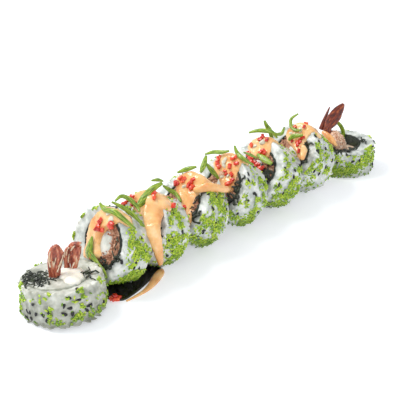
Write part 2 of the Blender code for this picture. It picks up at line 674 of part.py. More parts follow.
def build_sauce():
    """Sauce on slices two to seven and on the last, each with its dice and its hanging run."""
    spaces = {number: inflated(number, size, GAP) for number, size in SLICES.items()}
    for number, rows in SAUCE_ROWS.items():
        size = SLICES[number]
        sheet = sauce_sheet(number, size, rows)
        extras = [die(number, i, size, *place) for i, place in enumerate(DICE[number])]
        if number in RUNS:
            run = run_of_sauce(number, cutters)
            run.name = "run"
            extras.append(run)
        joined(sheet, extras)
        sheet.name = f"sauce_{number}"
        close = [spaces[n] for n in (number - 1, number, number + 1)]
        cut(sheet, *close)
        largest_body(sheet)
    last = run_of_sauce(8, part)
    mound = swollen_copy(bpy.data.objects["crust_8"], GAP)
    cut(last, spaces[8], spaces[7], mound, swollen_copy(bpy.data.objects["prawn_tail_8"], GAP))
    largest_body(last)
    return spaces


def build_shreds():
    """Scallion shreds: thin curved strips."""
    for name, (points, width) in SHREDS.items():
        path = [mm(*point) for point in smooth_path(points, 2)]
        count = len(path)
        swell = [math.sin(math.pi * (0.1 + 0.8 * i / (count - 1))) for i in range(count)]
        widths = [mm(width) * (0.45 + 0.55 * share) for share in swell]
        facing = VIEW_TOWARDS + Vector((0, 0, 0.6))
        loft(f"scallion_{name}", path, widths, [mm(SHRED_DEPTH)] * count, facing, 4, SCALLION)
    size = SLICES[2]
    half = mm(size.thickness) / 2
    rings = smooth_path(BROAD_SHRED, 2)
    path = [size.matrix() @ Vector((mm(r[0]), mm(r[1]), half + mm(3.0))) for r in rings]
    widths = [mm(ring[2]) for ring in rings]
    loft("scallion_d", path, widths, [mm(SHRED_DEPTH)] * len(path), size.axes()[2], 4, SCALLION)


def build_glaze(spaces):
    """A thin dark pool under the near slices, a smear of sauce at its edge and a clump of dice."""
    outline = bpy.data.curves.new("pool", "CURVE")
    outline.dimensions = "2D"
    outline.fill_mode = "BOTH"
    outline.resolution_u = 2
    outline.extrude = GLAZE_DEPTH / 2
    spline = outline.splines.new("BEZIER")
    spline.bezier_points.add(len(GLAZE) - 1)
    for point, (x, y) in zip(spline.bezier_points, GLAZE):
        point.co = mm(x, y, 0)
        point.handle_left_type = point.handle_right_type = "AUTO"
    spline.use_cyclic_u = True
    guide = bpy.data.objects.new("pool", outline)
    cutters.objects.link(guide)
    bpy.context.view_layer.update()
    graph = bpy.context.evaluated_depsgraph_get()
    mesh = bpy.data.meshes.new_from_object(guide.evaluated_get(graph))
    bpy.data.objects.remove(guide)
    shape = bmesh.new()
    shape.from_mesh(mesh)
    bmesh.ops.remove_doubles(shape, verts=shape.verts, dist=1e-6)
    bmesh.ops.translate(shape, vec=(0, 0, GLAZE_DEPTH / 2), verts=shape.verts)
    pool = from_bmesh("dark_glaze", shape, DARK_GLAZE)

    rings = smooth_path(SMEAR, 2)
    path = [mm(ring[0], ring[1], 0) for ring in rings]
    depths = [mm(0.5 + 0.55 * ring[2]) for ring in rings]
    widths = [mm(ring[2]) for ring in rings]
    smear = loft("sauce_smear", path, widths, depths, Vector((0, 0, 1)), 8, SAUCE_FINISH)
    floor = rod("floor", (mm(-90), mm(-15)), mm(60), mm(40), -mm(9), 0.0, 12)
    cut(smear, floor)
    bpy.data.objects.remove(floor)
    cut(pool, swollen_copy(smear, GAP * 2.5), spaces[1], spaces[2], spaces[3])
    largest_body(pool)
    bits = []
    for i, (x, y) in enumerate(SPILT_DICE):
        bit = bmesh.new()
        bmesh.ops.create_cube(bit, size=DIE)
        turn = Matrix.Translation(mm(x, y, 1.2)) @ Matrix.Rotation(i * 0.7, 4, "Z")
        bmesh.ops.transform(bit, matrix=turn, verts=bit.verts)
        bits.append(from_bmesh(f"bit_{i}", bit, DARK_GLAZE, cutters))
    joined(pool, bits)


def main():
    """Builds the row from its near end."""
    filled = {number: build_slice(number, size) for number, size in SLICES.items()}
    build_first_filling(filled[1])
    build_last_filling(filled[8])
    spaces = build_sauce()
    build_shreds()
    build_glaze(spaces)
    for space in list(cutters.objects):
        bpy.data.objects.remove(space)


main()
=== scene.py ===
"""The dressed row of inside-out rolls: grains, roe, sesame, sauce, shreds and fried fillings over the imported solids.

Lengths in the tables are millimetres in the row's own layout, and place() turns them into the frame's metres.
"""

from __future__ import annotations

import logging
import math
import random
from dataclasses import dataclass, field, replace
from enum import Enum
from typing import Callable, Sequence

import bmesh
import bpy
import numpy as np
from mathutils import Matrix, Vector, noise

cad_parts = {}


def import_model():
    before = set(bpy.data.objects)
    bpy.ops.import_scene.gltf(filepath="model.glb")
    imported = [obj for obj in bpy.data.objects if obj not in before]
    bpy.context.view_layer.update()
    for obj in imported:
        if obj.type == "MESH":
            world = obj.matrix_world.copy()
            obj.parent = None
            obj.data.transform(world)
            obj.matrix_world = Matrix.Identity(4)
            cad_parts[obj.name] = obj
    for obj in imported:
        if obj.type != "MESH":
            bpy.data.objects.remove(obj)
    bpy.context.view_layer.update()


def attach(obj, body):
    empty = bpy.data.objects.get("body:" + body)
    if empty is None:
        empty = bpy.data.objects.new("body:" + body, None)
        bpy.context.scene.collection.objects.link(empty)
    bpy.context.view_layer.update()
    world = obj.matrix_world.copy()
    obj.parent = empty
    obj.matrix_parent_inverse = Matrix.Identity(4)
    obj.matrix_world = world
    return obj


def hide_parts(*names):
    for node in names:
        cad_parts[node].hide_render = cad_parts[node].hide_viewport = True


LOG = logging.getLogger("uramaki")

Colour = tuple[float, float, float]


def mm(*lengths: float) -> float | Vector:
    """Millimetres as metres: one number, or a vector."""
    return lengths[0] * 0.001 if len(lengths) == 1 else Vector(lengths) * 0.001


ROW_SHIFT = mm(3.3, 2.137, 0.0)  # from the row's layout to the frame
RIM = mm(1.6)  # how far a slice's upper rim rounds over
SAUCE = mm(1.9)  # the sauce's thickness
DIE = mm(2.4)  # a die of pepper, side to side
LOOK_X, LOOK_Y = 0.72, 0.69  # the level direction in which the photograph looks over the row
VIEW_TOWARDS = Vector((-LOOK_X, -LOOK_Y, 0))
VIEW_ACROSS = Vector((LOOK_Y, -LOOK_X, 0))


def place(x: float, y: float, z: float) -> Vector:
    """A point of the row's layout, in millimetres, as a point of the frame."""
    return mm(x, y, z) + ROW_SHIFT


def wander(point: Vector, scale: float, seed: float = 0.0) -> float:
    """Smooth noise from about -1 to 1 at a point.

    Args:
        point: where it is read, in metres.
        scale: how many waves there are in a metre.
        seed: a number that makes each use different.

    Returns:
        The noise's value.
    """
    return noise.noise(point * scale + Vector((seed * 3.7, seed * 1.3, seed * 5.1)))


def smooth_path(points: Sequence[Sequence[float]], steps: int) -> list[Vector]:
    """Points on a smooth curve through the given ones.

    Args:
        points: places, which may carry further numbers such as a width.
        steps: how many points each stretch gets.

    Returns:
        The curve's points.
    """
    ends = [points[0], *points, points[-1]]
    found = []
    for i in range(len(points) - 1):
        a, b, c, d = (Vector(p) for p in ends[i:i + 4])
        for step in range(steps):
            t = step / steps
            bend = 2 * a - 5 * b + 4 * c - d + t * (3 * b - 3 * c + d - a)
            found.append(b + t / 2 * (c - a + t * bend))
    return found + [Vector(points[-1])]


# ---------------------------------------------------------------- shader building


class Shade:
    """A shader socket that can stand in sums, differences and products."""

    def __init__(self, tree: bpy.types.NodeTree, socket: bpy.types.NodeSocket) -> None:
        """Keeps the tree and the socket that the value comes from."""
        self.tree = tree
        self.socket = socket

    def _join(self, operation: str, first: Shade | float, second: Shade | float) -> Shade:
        """Adds a Math node on two values.

        Args:
            operation: the node's operation.
            first: the left value.
            second: the right value.

        Returns:
            The node's result.
        """
        node = self.tree.nodes.new("ShaderNodeMath")
        node.operation = operation
        for socket, value in zip(node.inputs, (first, second)):
            if isinstance(value, Shade):
                self.tree.links.new(value.socket, socket)
            else:
                socket.default_value = value
        return Shade(self.tree, node.outputs[0])

    def __add__(self, other: Shade | float) -> Shade:
        """The sum."""
        return self._join("ADD", self, other)

    def __radd__(self, other: float) -> Shade:
        """The sum, with the number on the left."""
        return self._join("ADD", other, self)

    def __sub__(self, other: Shade | float) -> Shade:
        """The difference."""
        return self._join("SUBTRACT", self, other)

    def __rsub__(self, other: float) -> Shade:
        """The difference, with the number on the left."""
        return self._join("SUBTRACT", other, self)

    def __mul__(self, other: Shade | float) -> Shade:
        """The product."""
        return self._join("MULTIPLY", self, other)

    def __rmul__(self, other: float) -> Shade:
        """The product, with the number on the left."""
        return self._join("MULTIPLY", other, self)


class Coordinates(Enum):
    """Where a pattern is read: in the frame's metres, or along and across a strip."""

    OBJECT = "Object"
    STRIP = "UV"


FINER_LAYERS = 0.55  # how strong the finer layers of noise are
MOTTLE = (0.28, 0.72)  # the span of noise that a finish's colours are spread over
GLOSS_SCALE = 1.7  # the waves of the gloss, against those of the colours
COAT_ROUGHNESS = 0.12
SCATTER_REACH = 0.0025  # how far light spreads inside, in metres
FOOT_SHADE_SHARE = 0.7  # how much of the painted shade shows at the foot


class FinishTree:
    """The node tree of one finish, with its main shader."""

    def __init__(self, name: str) -> None:
        """Starts a material with one main shader."""
        self.material = bpy.data.materials.new(name)
        self.material.use_nodes = True
        self.tree = self.material.node_tree
        self.shader = self.tree.nodes["Principled BSDF"]

    def node(self, kind: str, settings: dict[str, object], values: dict[str | int, object],
             output: str | int = 0) -> Shade:
        """Adds a node.

        Args:
            kind: the node's type.
            settings: its properties, set first; "stops" are a ramp's (place, colour) pairs.
            values: numbers, colours or sockets for its inputs.
            output: which output is wanted.

        Returns:
            That output.
        """
        node = self.tree.nodes.new(kind)
        for name, value in settings.items():
            if name == "stops":
                ramp = node.color_ramp.elements
                while len(ramp) < len(value):
                    ramp.new(0.5)
                for stop, (at, colour) in zip(ramp, value):
                    stop.position = at
                    stop.color = (*colour, 1)
            else:
                setattr(node, name, value)
        for name, value in values.items():
            self.feed(node.inputs[name], value)
        return Shade(self.tree, node.outputs[output])

    def feed(self, socket: bpy.types.NodeSocket, value: object) -> None:
        """Links a socket to another, or gives it a plain value."""
        if isinstance(value, Shade):
            self.tree.links.new(value.socket, socket)
        else:
            socket.default_value = value

    def where(self, coordinates: Coordinates, stretch: Colour) -> Shade:
        """The place on the surface, stretched along the axes.

        Args:
            coordinates: which coordinates are read.
            stretch: the factors along the three axes.

        Returns:
            The place, as a vector.
        """
        source = self.node("ShaderNodeTexCoord", {}, {}, coordinates.value)
        return self.node("ShaderNodeMapping", {}, {"Vector": source, "Scale": stretch})

    def speckle(self, where: Shade, scale: float, detail: float = 3.0) -> Shade:
        """Soft noise from 0 to 1.

        Args:
            where: the place it is read at.
            scale: its waves to the metre.
            detail: how many finer layers it has.

        Returns:
            The noise.
        """
        return self.node("ShaderNodeTexNoise", {},
                         {"Vector": where, "Scale": scale, "Detail": detail, "Roughness": FINER_LAYERS})

    def ramp(self, factor: Shade, stops: Sequence[tuple[float, Colour]]) -> Shade:
        """A colour read from stops."""
        return self.node("ShaderNodeValToRGB", {"stops": stops}, {"Fac": factor})

    def mix(self, factor: Shade | float, first: Shade | Colour, second: Shade | Colour) -> Shade:
        """Two colours mixed.

        Args:
            factor: 0 for the first, 1 for the second.
            first: a colour or a socket.
            second: a colour or a socket.

        Returns:
            The mixed colour.
        """
        pair = [c if isinstance(c, Shade) else (*c, 1) for c in (first, second)]
        return self.node("ShaderNodeMix", {"data_type": "RGBA"}, {0: factor, 6: pair[0], 7: pair[1]}, 2)

    def band(self, value: Shade, low: float, high: float) -> Shade:
        """0 below low, 1 above high, smooth between."""
        return self.node("ShaderNodeMapRange", {"interpolation_type": "SMOOTHSTEP"},
                         {"Value": value, "From Min": low, "From Max": high})

    def each(self) -> Shade:
        """A random number for each loose grain."""
        return self.node("ShaderNodeNewGeometry", {}, {}, "Random Per Island")

    def relief(self, height: Shade, depth: float) -> None:
        """Feeds a height to the shader's normal, with its depth in metres."""
        bump = self.node("ShaderNodeBump", {}, {"Height": height, "Distance": depth, "Strength": 1.0})
        self.feed(self.shader.inputs["Normal"], bump)

    def skin(self, **values: object) -> None:
        """Sets or links the shader's sockets, named with underscores for blanks."""
        for name, value in values.items():
            self.feed(self.shader.inputs[name.replace("_", " ")], value)


@dataclass(frozen=True)
class Finish:
    """A mottled surface: colours along noise, grain by grain variation, gloss and fine relief.

    stops are (place, colour) pairs, and scale the mottle's waves to the metre. roughness is the lowest and highest.
    relief is (waves to the metre, depth in metres). each is how far a loose grain has a colour of its own. depth is
    (weight, tint) of the light inside, and the foot shade (foot, top, colour) is painted shade, which darkens the
    surface towards the foot and fades out between the two heights.
    """

    name: str
    stops: tuple[tuple[float, Colour], ...]
    scale: float
    roughness: tuple[float, float]
    relief: tuple[float, float]
    each: float = 0.0
    stretch: Colour = (1.0, 1.0, 1.0)
    coordinates: Coordinates = Coordinates.OBJECT
    detail: float = 3.0
    depth: tuple[float, Colour] = (0.0, (1.0, 0.6, 0.4))
    coat: float = 0.0
    painted_foot_shade: tuple[float, float, Colour] | None = None

    def material(self) -> bpy.types.Material:
        """Builds the material once, and gives it again when it is asked for later."""
        made = bpy.data.materials.get(f"{self.name}_finish")
        return made if made else self.build().material

    def build(self) -> FinishTree:
        """Builds the node tree.

        Returns:
            The tree with its material.
        """
        tree = FinishTree(f"{self.name}_finish")
        where = tree.where(self.coordinates, self.stretch)
        mottle = tree.speckle(where, self.scale, self.detail)
        spread = tree.band(mottle, *MOTTLE)
        if self.each:
            spread = spread * (1 - self.each) + tree.each() * self.each
        colour = tree.ramp(spread, self.stops)
        # painted shade: the colour darkens towards the foot, fading out between two heights
        if self.painted_foot_shade:
            foot, top, foot_shade_colour = self.painted_foot_shade
            here = tree.node("ShaderNodeTexCoord", {}, {}, Coordinates.OBJECT.value)
            level = tree.node("ShaderNodeSeparateXYZ", {}, {"Vector": here}, "Z")
            colour = tree.mix(FOOT_SHADE_SHARE * (1 - tree.band(level, foot, top)), colour, foot_shade_colour)
        tree.skin(Base_Color=colour)
        gloss = tree.speckle(where, self.scale * GLOSS_SCALE, 2.0)
        low, high = self.roughness
        tree.skin(Roughness=low + (high - low) * gloss, Coat_Weight=self.coat, Coat_Roughness=COAT_ROUGHNESS)
        weight, tint = self.depth
        tree.skin(Subsurface_Weight=weight, Subsurface_Radius=tint, Subsurface_Scale=SCATTER_REACH)
        fine, height = self.relief
        tree.relief(tree.speckle(where, fine), height)
        return tree


# RICE, END_RICE and ROE end in painted shade: their colour darkens towards the foot.
RICE = Finish("packed_rice", ((0.0, (0.38, 0.41, 0.38)), (0.4, (0.57, 0.60, 0.56)), (0.75, (0.68, 0.70, 0.66)),
                              (1.0, (0.80, 0.81, 0.78))),
              150, (0.26, 0.48), (520, 0.0002), depth=(0.3, (1.0, 0.9, 0.8)), coat=0.15,
              painted_foot_shade=(0.0, 0.014, (0.31, 0.34, 0.28)))
END_RICE = Finish("end_rice", ((0.0, (0.26, 0.27, 0.22)), (0.4, (0.44, 0.45, 0.38)), (0.75, (0.57, 0.58, 0.51)),
                               (1.0, (0.72, 0.73, 0.66))),
                  120, (0.26, 0.5), (500, 0.0002), depth=(0.3, (1.0, 0.9, 0.75)), coat=0.15,
                  painted_foot_shade=(-0.002, 0.018, (0.17, 0.18, 0.135)))
ROE = Finish("green_roe", ((0.0, (0.07, 0.15, 0.006)), (0.25, (0.21, 0.38, 0.012)), (0.6, (0.42, 0.62, 0.024)),
                           (1.0, (0.66, 0.79, 0.085))),
             300, (0.2, 0.45), (2500, 0.00008), each=0.8, depth=(0.25, (0.6, 1.0, 0.2)), coat=0.2,
             painted_foot_shade=(0.0, 0.016, (0.09, 0.18, 0.008)))
SESAME = Finish("black_sesame", ((0.0, (0.004, 0.004, 0.005)), (1.0, (0.018, 0.017, 0.02))),
                900, (0.45, 0.65), (3000, 0.00006), each=0.5)
NORI = Finish("nori_sheet", ((0.0, (0.004, 0.006, 0.004)), (0.6, (0.014, 0.022, 0.010)),
                             (1.0, (0.045, 0.065, 0.025))),
              350, (0.25, 0.6), (1800, 0.0002), stretch=(1.0, 1.0, 2.2))
CRUST = Finish("fried_crust", ((0.0, (0.13, 0.045, 0.022)), (0.35, (0.36, 0.15, 0.08)), (0.7, (0.57, 0.31, 0.19)),
                               (1.0, (0.80, 0.59, 0.42))),
               650, (0.4, 0.75), (1500, 0.0003), each=0.55, detail=5.0, depth=(0.1, (1.0, 0.5, 0.3)))
CRUMBS = Finish("pale_crumbs", ((0.0, (0.42, 0.16, 0.08)), (0.4, (0.72, 0.43, 0.28)), (1.0, (0.92, 0.76, 0.60))),
                500, (0.4, 0.7), (1500, 0.0002), each=0.6, depth=(0.15, (1.0, 0.6, 0.4)))
PRAWN = Finish("prawn_flesh", ((0.0, (0.52, 0.52, 0.46)), (0.6, (0.66, 0.68, 0.61)), (1.0, (0.78, 0.77, 0.70))),
               160, (0.22, 0.4), (700, 0.0002), depth=(0.4, (1.0, 0.85, 0.7)), coat=0.2)
CREAM = Finish("cream_cheese", ((0.0, (0.84, 0.80, 0.68)), (1.0, (0.95, 0.93, 0.85))),
               120, (0.35, 0.55), (500, 0.0003), depth=(0.3, (1.0, 0.85, 0.6)))
# SAUCE_COAT ends in painted shade: a deeper orange towards the foot.
SAUCE_COAT = Finish("orange_sauce", ((0.0, (0.68, 0.27, 0.07)), (0.3, (0.80, 0.40, 0.14)), (0.65, (0.87, 0.50, 0.20)),
                                      (1.0, (0.92, 0.62, 0.32))),
                    75, (0.12, 0.3), (190, 0.0010), detail=4.0, depth=(0.25, (1.0, 0.5, 0.2)), coat=0.45,
                    painted_foot_shade=(0.008, 0.028, (0.70, 0.27, 0.065)))
SMEARED_SAUCE = replace(SAUCE_COAT, name="smeared_sauce", painted_foot_shade=None)
PEPPER = Finish("diced_pepper", ((0.0, (0.42, 0.010, 0.006)), (0.5, (0.66, 0.035, 0.015)), (0.8, (0.80, 0.085, 0.02)),
                                 (1.0, (0.85, 0.20, 0.04))),
                700, (0.12, 0.3), (1200, 0.0001), each=0.6, depth=(0.2, (1.0, 0.2, 0.1)), coat=0.4)
PALE_BITS = Finish("pale_bits", ((0.0, (0.50, 0.46, 0.33)), (1.0, (0.78, 0.76, 0.62))),
                   400, (0.25, 0.4), (900, 0.0001), each=0.4, depth=(0.35, (1.0, 0.8, 0.6)), coat=0.2)
SCALLION = Finish("scallion_leaf", ((0.0, (0.05, 0.12, 0.005)), (0.35, (0.15, 0.26, 0.010)),
                                    (0.7, (0.29, 0.40, 0.022)), (1.0, (0.52, 0.58, 0.11))),
                  5, (0.18, 0.36), (14, 0.0002), stretch=(3.0, 0.25, 1.0), coordinates=Coordinates.STRIP,
                  depth=(0.15, (0.6, 1.0, 0.2)), coat=0.3)
TAIL = Finish("prawn_tail", ((0.0, (0.045, 0.005, 0.002)), (0.4, (0.14, 0.016, 0.004)), (0.75, (0.26, 0.038, 0.008)),
                             (1.0, (0.46, 0.13, 0.028))),
              4, (0.2, 0.4), (18, 0.00025), stretch=(3.0, 0.28, 1.0), coordinates=Coordinates.STRIP,
              depth=(0.03, (1.0, 0.3, 0.1)), coat=0.2)
LEG = Finish("crisp_leg", ((0.0, (0.10, 0.014, 0.006)), (0.35, (0.30, 0.05, 0.02)), (0.65, (0.48, 0.12, 0.055)),
                           (0.85, (0.60, 0.24, 0.13)), (1.0, (0.80, 0.58, 0.40))),
             520, (0.18, 0.4), (1100, 0.0003), stretch=(1.0, 1.0, 0.22), detail=4.0, depth=(0.1, (1.0, 0.4, 0.2)),
             coat=0.35)
STREAKS = Finish("cream_streaks", ((0.0, (0.66, 0.40, 0.24)), (1.0, (0.88, 0.74, 0.55))),
                 500, (0.3, 0.5), (1200, 0.0002), each=0.4, depth=(0.15, (1.0, 0.7, 0.5)))
GLAZE = Finish("dark_glaze", ((0.0, (0.003, 0.003, 0.002)), (1.0, (0.010, 0.008, 0.006))),
               80, (0.10, 0.22), (200, 0.0001), coat=0.4)


# ---------------------------------------------------------------- mesh building


@dataclass(frozen=True)
class Template:
    """The points and triangles of one small thing, one unit from middle to side."""

    points: np.ndarray
    faces: np.ndarray

    @classmethod
    def ball(cls, rounds: int, change: Callable[[Vector], Vector]) -> Template:
        """A ball whose points are moved.

        Args:
            rounds: how fine it is.
            change: gives each point its new place.

        Returns:
            The template.
        """
        shape = bmesh.new()
        bmesh.ops.create_icosphere(shape, subdivisions=rounds, radius=1)
        return cls.from_shape(shape, change)

    @classmethod
    def from_shape(cls, shape: bmesh.types.BMesh, change: Callable[[Vector], Vector]) -> Template:
        """A template from a finished shape, which is freed."""
        bmesh.ops.triangulate(shape, faces=shape.faces)
        shape.verts.index_update()
        points = np.array([change(v.co) for v in shape.verts])
        faces = np.array([[v.index for v in f.verts] for f in shape.faces])
        shape.free()
        return cls(points, faces)


def grain_template(bend: float) -> Template:
    """A cooked grain along X: blunt at its ends, a little bent."""
    return Template.ball(2, lambda p: Vector((p.x, p.y + bend * (p.x * p.x - 0.4), p.z)))


def sesame_template() -> Template:
    """A flat seed along X, pointed at one end."""
    return Template.ball(2, lambda p: Vector((p.x, p.y * (0.72 - 0.34 * p.x), p.z * (0.8 - 0.2 * p.x))))


def crumb_template(seed: float) -> Template:
    """A broken crumb with corners."""
    return Template.ball(1, lambda p: p * (1 + 0.55 * wander(p, 1.7, seed)))


def die_template() -> Template:
    """A cube with softened edges, one unit from middle to side."""
    shape = bmesh.new()
    bmesh.ops.create_cube(shape, size=2)
    bmesh.ops.bevel(shape, geom=shape.edges[:], offset=0.07, segments=1, affect="EDGES")
    return Template.from_shape(shape, lambda p: p * (1 + 0.14 * wander(p, 0.9, 2)))


def sized(half: Sequence[float]) -> Matrix:
    """A matrix that gives a template these half sizes."""
    return Matrix.Diagonal((*half, 1))


def spun(angle: float, axis: str | Vector = "Z") -> Matrix:
    """A turn about an axis, in radians."""
    return Matrix.Rotation(angle, 4, axis)


def standing(normal: Vector) -> Matrix:
    """A turn that brings Z along a normal."""
    return normal.to_track_quat("Z", "Y").to_matrix().to_4x4()


def lift_low(vertices: Sequence[bmesh.types.BMVert | bpy.types.MeshVertex], floor: float) -> None:
    """Lifts each point that lies below a height, in metres."""
    for vertex in vertices:
        vertex.co.z = max(vertex.co.z, floor)


def add_ball(shape: bmesh.types.BMesh, matrix: Matrix) -> None:
    """Adds a ball to a shape, one unit from middle to side before the matrix."""
    ball = bmesh.ops.create_icosphere(shape, subdivisions=3, radius=1)["verts"]
    bmesh.ops.transform(shape, matrix=matrix, verts=ball)


def join_rings(shape: bmesh.types.BMesh, rings: Sequence[Sequence[bmesh.types.BMVert]]) -> None:
    """Adds the faces between each ring of points and the next."""
    for low, high in zip(rings, rings[1:]):
        for k in range(len(low)):
            shape.faces.new((low[k - 1], low[k], high[k], high[k - 1]))


class Heap:
    """Many small things joined as one mesh."""

    def __init__(self) -> None:
        """Starts with nothing."""
        self.points: list[np.ndarray] = []
        self.faces: list[np.ndarray] = []
        self.count = 0

    def add(self, points: np.ndarray, faces: np.ndarray) -> None:
        """Adds one shape's points and triangles."""
        self.points.append(points)
        self.faces.append(faces + self.count)
        self.count += len(points)

    def drop(self, template: Template, matrix: Matrix, floor: float = 0.0) -> None:
        """Adds one thing, lifted if it would reach below the floor.

        Args:
            template: the thing.
            matrix: where it lies, with its size.
            floor: the lowest height it may have.
        """
        turn = np.array(matrix)
        points = template.points @ turn[:3, :3].T + turn[:3, 3]
        low = points[:, 2].min()
        if low < floor:
            points[:, 2] += floor - low
        self.add(points, template.faces)

    def mesh(self, name: str) -> bpy.types.Mesh:
        """The joined mesh under a name, smooth shaded."""
        points = np.concatenate(self.points).astype(np.float32)
        faces = np.concatenate(self.faces).astype(np.int32)
        mesh = bpy.data.meshes.new(name)
        mesh.vertices.add(len(points))
        mesh.vertices.foreach_set("co", points.ravel())
        mesh.loops.add(faces.size)
        mesh.loops.foreach_set("vertex_index", faces.ravel())
        mesh.polygons.add(len(faces))
        mesh.polygons.foreach_set("loop_start", np.arange(0, faces.size, 3, dtype=np.int32))
        mesh.update(calc_edges=True)
        mesh.validate()
        mesh.shade_smooth()
        return mesh


class Board:
    """Puts finished pieces in the scene, riding on the frame."""

    @staticmethod
    def serve(name: str, mesh: bpy.types.Mesh, finish: Finish, slot: str, nodes: Sequence[str] = ()) -> None:
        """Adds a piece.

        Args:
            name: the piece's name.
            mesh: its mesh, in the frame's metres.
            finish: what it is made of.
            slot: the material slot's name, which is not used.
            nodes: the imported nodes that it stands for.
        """
        mesh.materials.clear()
        mesh.materials.append(finish.material())
        piece = bpy.data.objects.new(name, mesh)
        bpy.context.scene.collection.objects.link(piece)
        if nodes:
            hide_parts(*nodes)
        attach(piece, "root")
        LOG.info("%s: %d faces", name, len(mesh.polygons))

    @classmethod
    def melted(cls, shape: bmesh.types.BMesh, name: str, voxel: float, rounds: int) -> bpy.types.Mesh:
        """Overlapping shapes merged into one soft skin.

        Args:
            shape: the shapes, which are freed.
            name: the mesh's name.
            voxel: the skin's grid in metres.
            rounds: how often it is smoothed.

        Returns:
            The merged mesh.
        """
        mesh = bpy.data.meshes.new(name)
        shape.to_mesh(mesh)
        shape.free()
        return cls.fused(mesh, name, voxel, rounds)

    @staticmethod
    def fused(mesh: bpy.types.Mesh, name: str, voxel: float, rounds: int) -> bpy.types.Mesh:
        """A mesh of overlapping shapes merged into one soft skin.

        Args:
            mesh: the shapes, which are removed.
            name: the new mesh's name.
            voxel: the skin's grid in metres.
            rounds: how often it is smoothed.

        Returns:
            The merged mesh.
        """
        helper = bpy.data.objects.new(name, mesh)
        bpy.context.scene.collection.objects.link(helper)
        remesh = helper.modifiers.new("merge", "REMESH")
        remesh.mode = "VOXEL"
        remesh.voxel_size = voxel
        soften = helper.modifiers.new("soften", "SMOOTH")
        soften.factor = 0.5
        soften.iterations = rounds
        bpy.context.view_layer.update()
        graph = bpy.context.evaluated_depsgraph_get()
        merged = bpy.data.meshes.new_from_object(helper.evaluated_get(graph))
        bpy.data.objects.remove(helper)
        bpy.data.meshes.remove(mesh)
        merged.name = name
        merged.shade_smooth()
        return merged


def finished_mesh(shape: bmesh.types.BMesh, name: str) -> bpy.types.Mesh:
    """A smooth mesh from a shape with its faces turned outward; the shape is freed."""
    bmesh.ops.recalc_face_normals(shape, faces=shape.faces)
    mesh = bpy.data.meshes.new(name)
    shape.to_mesh(mesh)
    shape.free()
    mesh.shade_smooth()
    return mesh


@dataclass
class Strip:
    """A strip or rod lofted along a path, in millimetres.

    points hold x, y, z and half width in the row's layout, and depth is half the thickness. facing is the way its
    flat side looks, curl bends it across, keel adds a ridge along its middle, and ripple makes it uneven.
    """

    points: Sequence[Sequence[float]]
    depth: float
    facing: Vector = field(default_factory=lambda: VIEW_TOWARDS)
    sides: int = 14
    steps: int = 6
    curl: float = 0.0
    keel: float = 0.0
    ripple: float = 0.0

    def add_to(self, shape: bmesh.types.BMesh) -> None:
        """Lofts the strip into a shape, with its own along and across coordinates."""
        layer = shape.loops.layers.uv.verify()
        rings_at = smooth_path(self.points, self.steps)
        path = [place(*ring[:3]) for ring in rings_at]
        rings = []
        count = len(path)
        for i, point in enumerate(path):
            along = (path[min(i + 1, count - 1)] - path[max(i - 1, 0)]).normalized()
            across = along.cross(self.facing).normalized()
            out = across.cross(along)
            half = mm(rings_at[i][3])
            deep = min(mm(self.depth), half * 0.9)
            ring = []
            for k in range(self.sides):
                angle = math.tau * (k + 0.5) / self.sides
                c, s = math.cos(angle), math.sin(angle)
                wave = 1 + self.ripple * wander(point, 260, k * 0.9)
                keel = deep * self.keel * max(0.0, 1 - 4 * abs(c)) * s
                rise = deep * s * wave + half * self.curl * (0.5 - c * c) + keel
                ring.append(shape.verts.new(point + across * half * c * wave + out * rise))
            rings.append(ring)
        for i, (low, high) in enumerate(zip(rings, rings[1:])):
            for k in range(self.sides):
                face = shape.faces.new((low[k - 1], low[k], high[k], high[k - 1]))
                for loop, u, v in zip(face.loops, (k, k + 1, k + 1, k), (i, i, i + 1, i + 1)):
                    loop[layer].uv = (u / self.sides, v / self.steps)
        shape.faces.new(rings[0])
        shape.faces.new(reversed(rings[-1]))

    def mesh(self, name: str) -> bpy.types.Mesh:
        """The strip alone as a smooth mesh."""
        shape = bmesh.new()
        self.add_to(shape)
        return finished_mesh(shape, name)


# ---------------------------------------------------------------- the slices


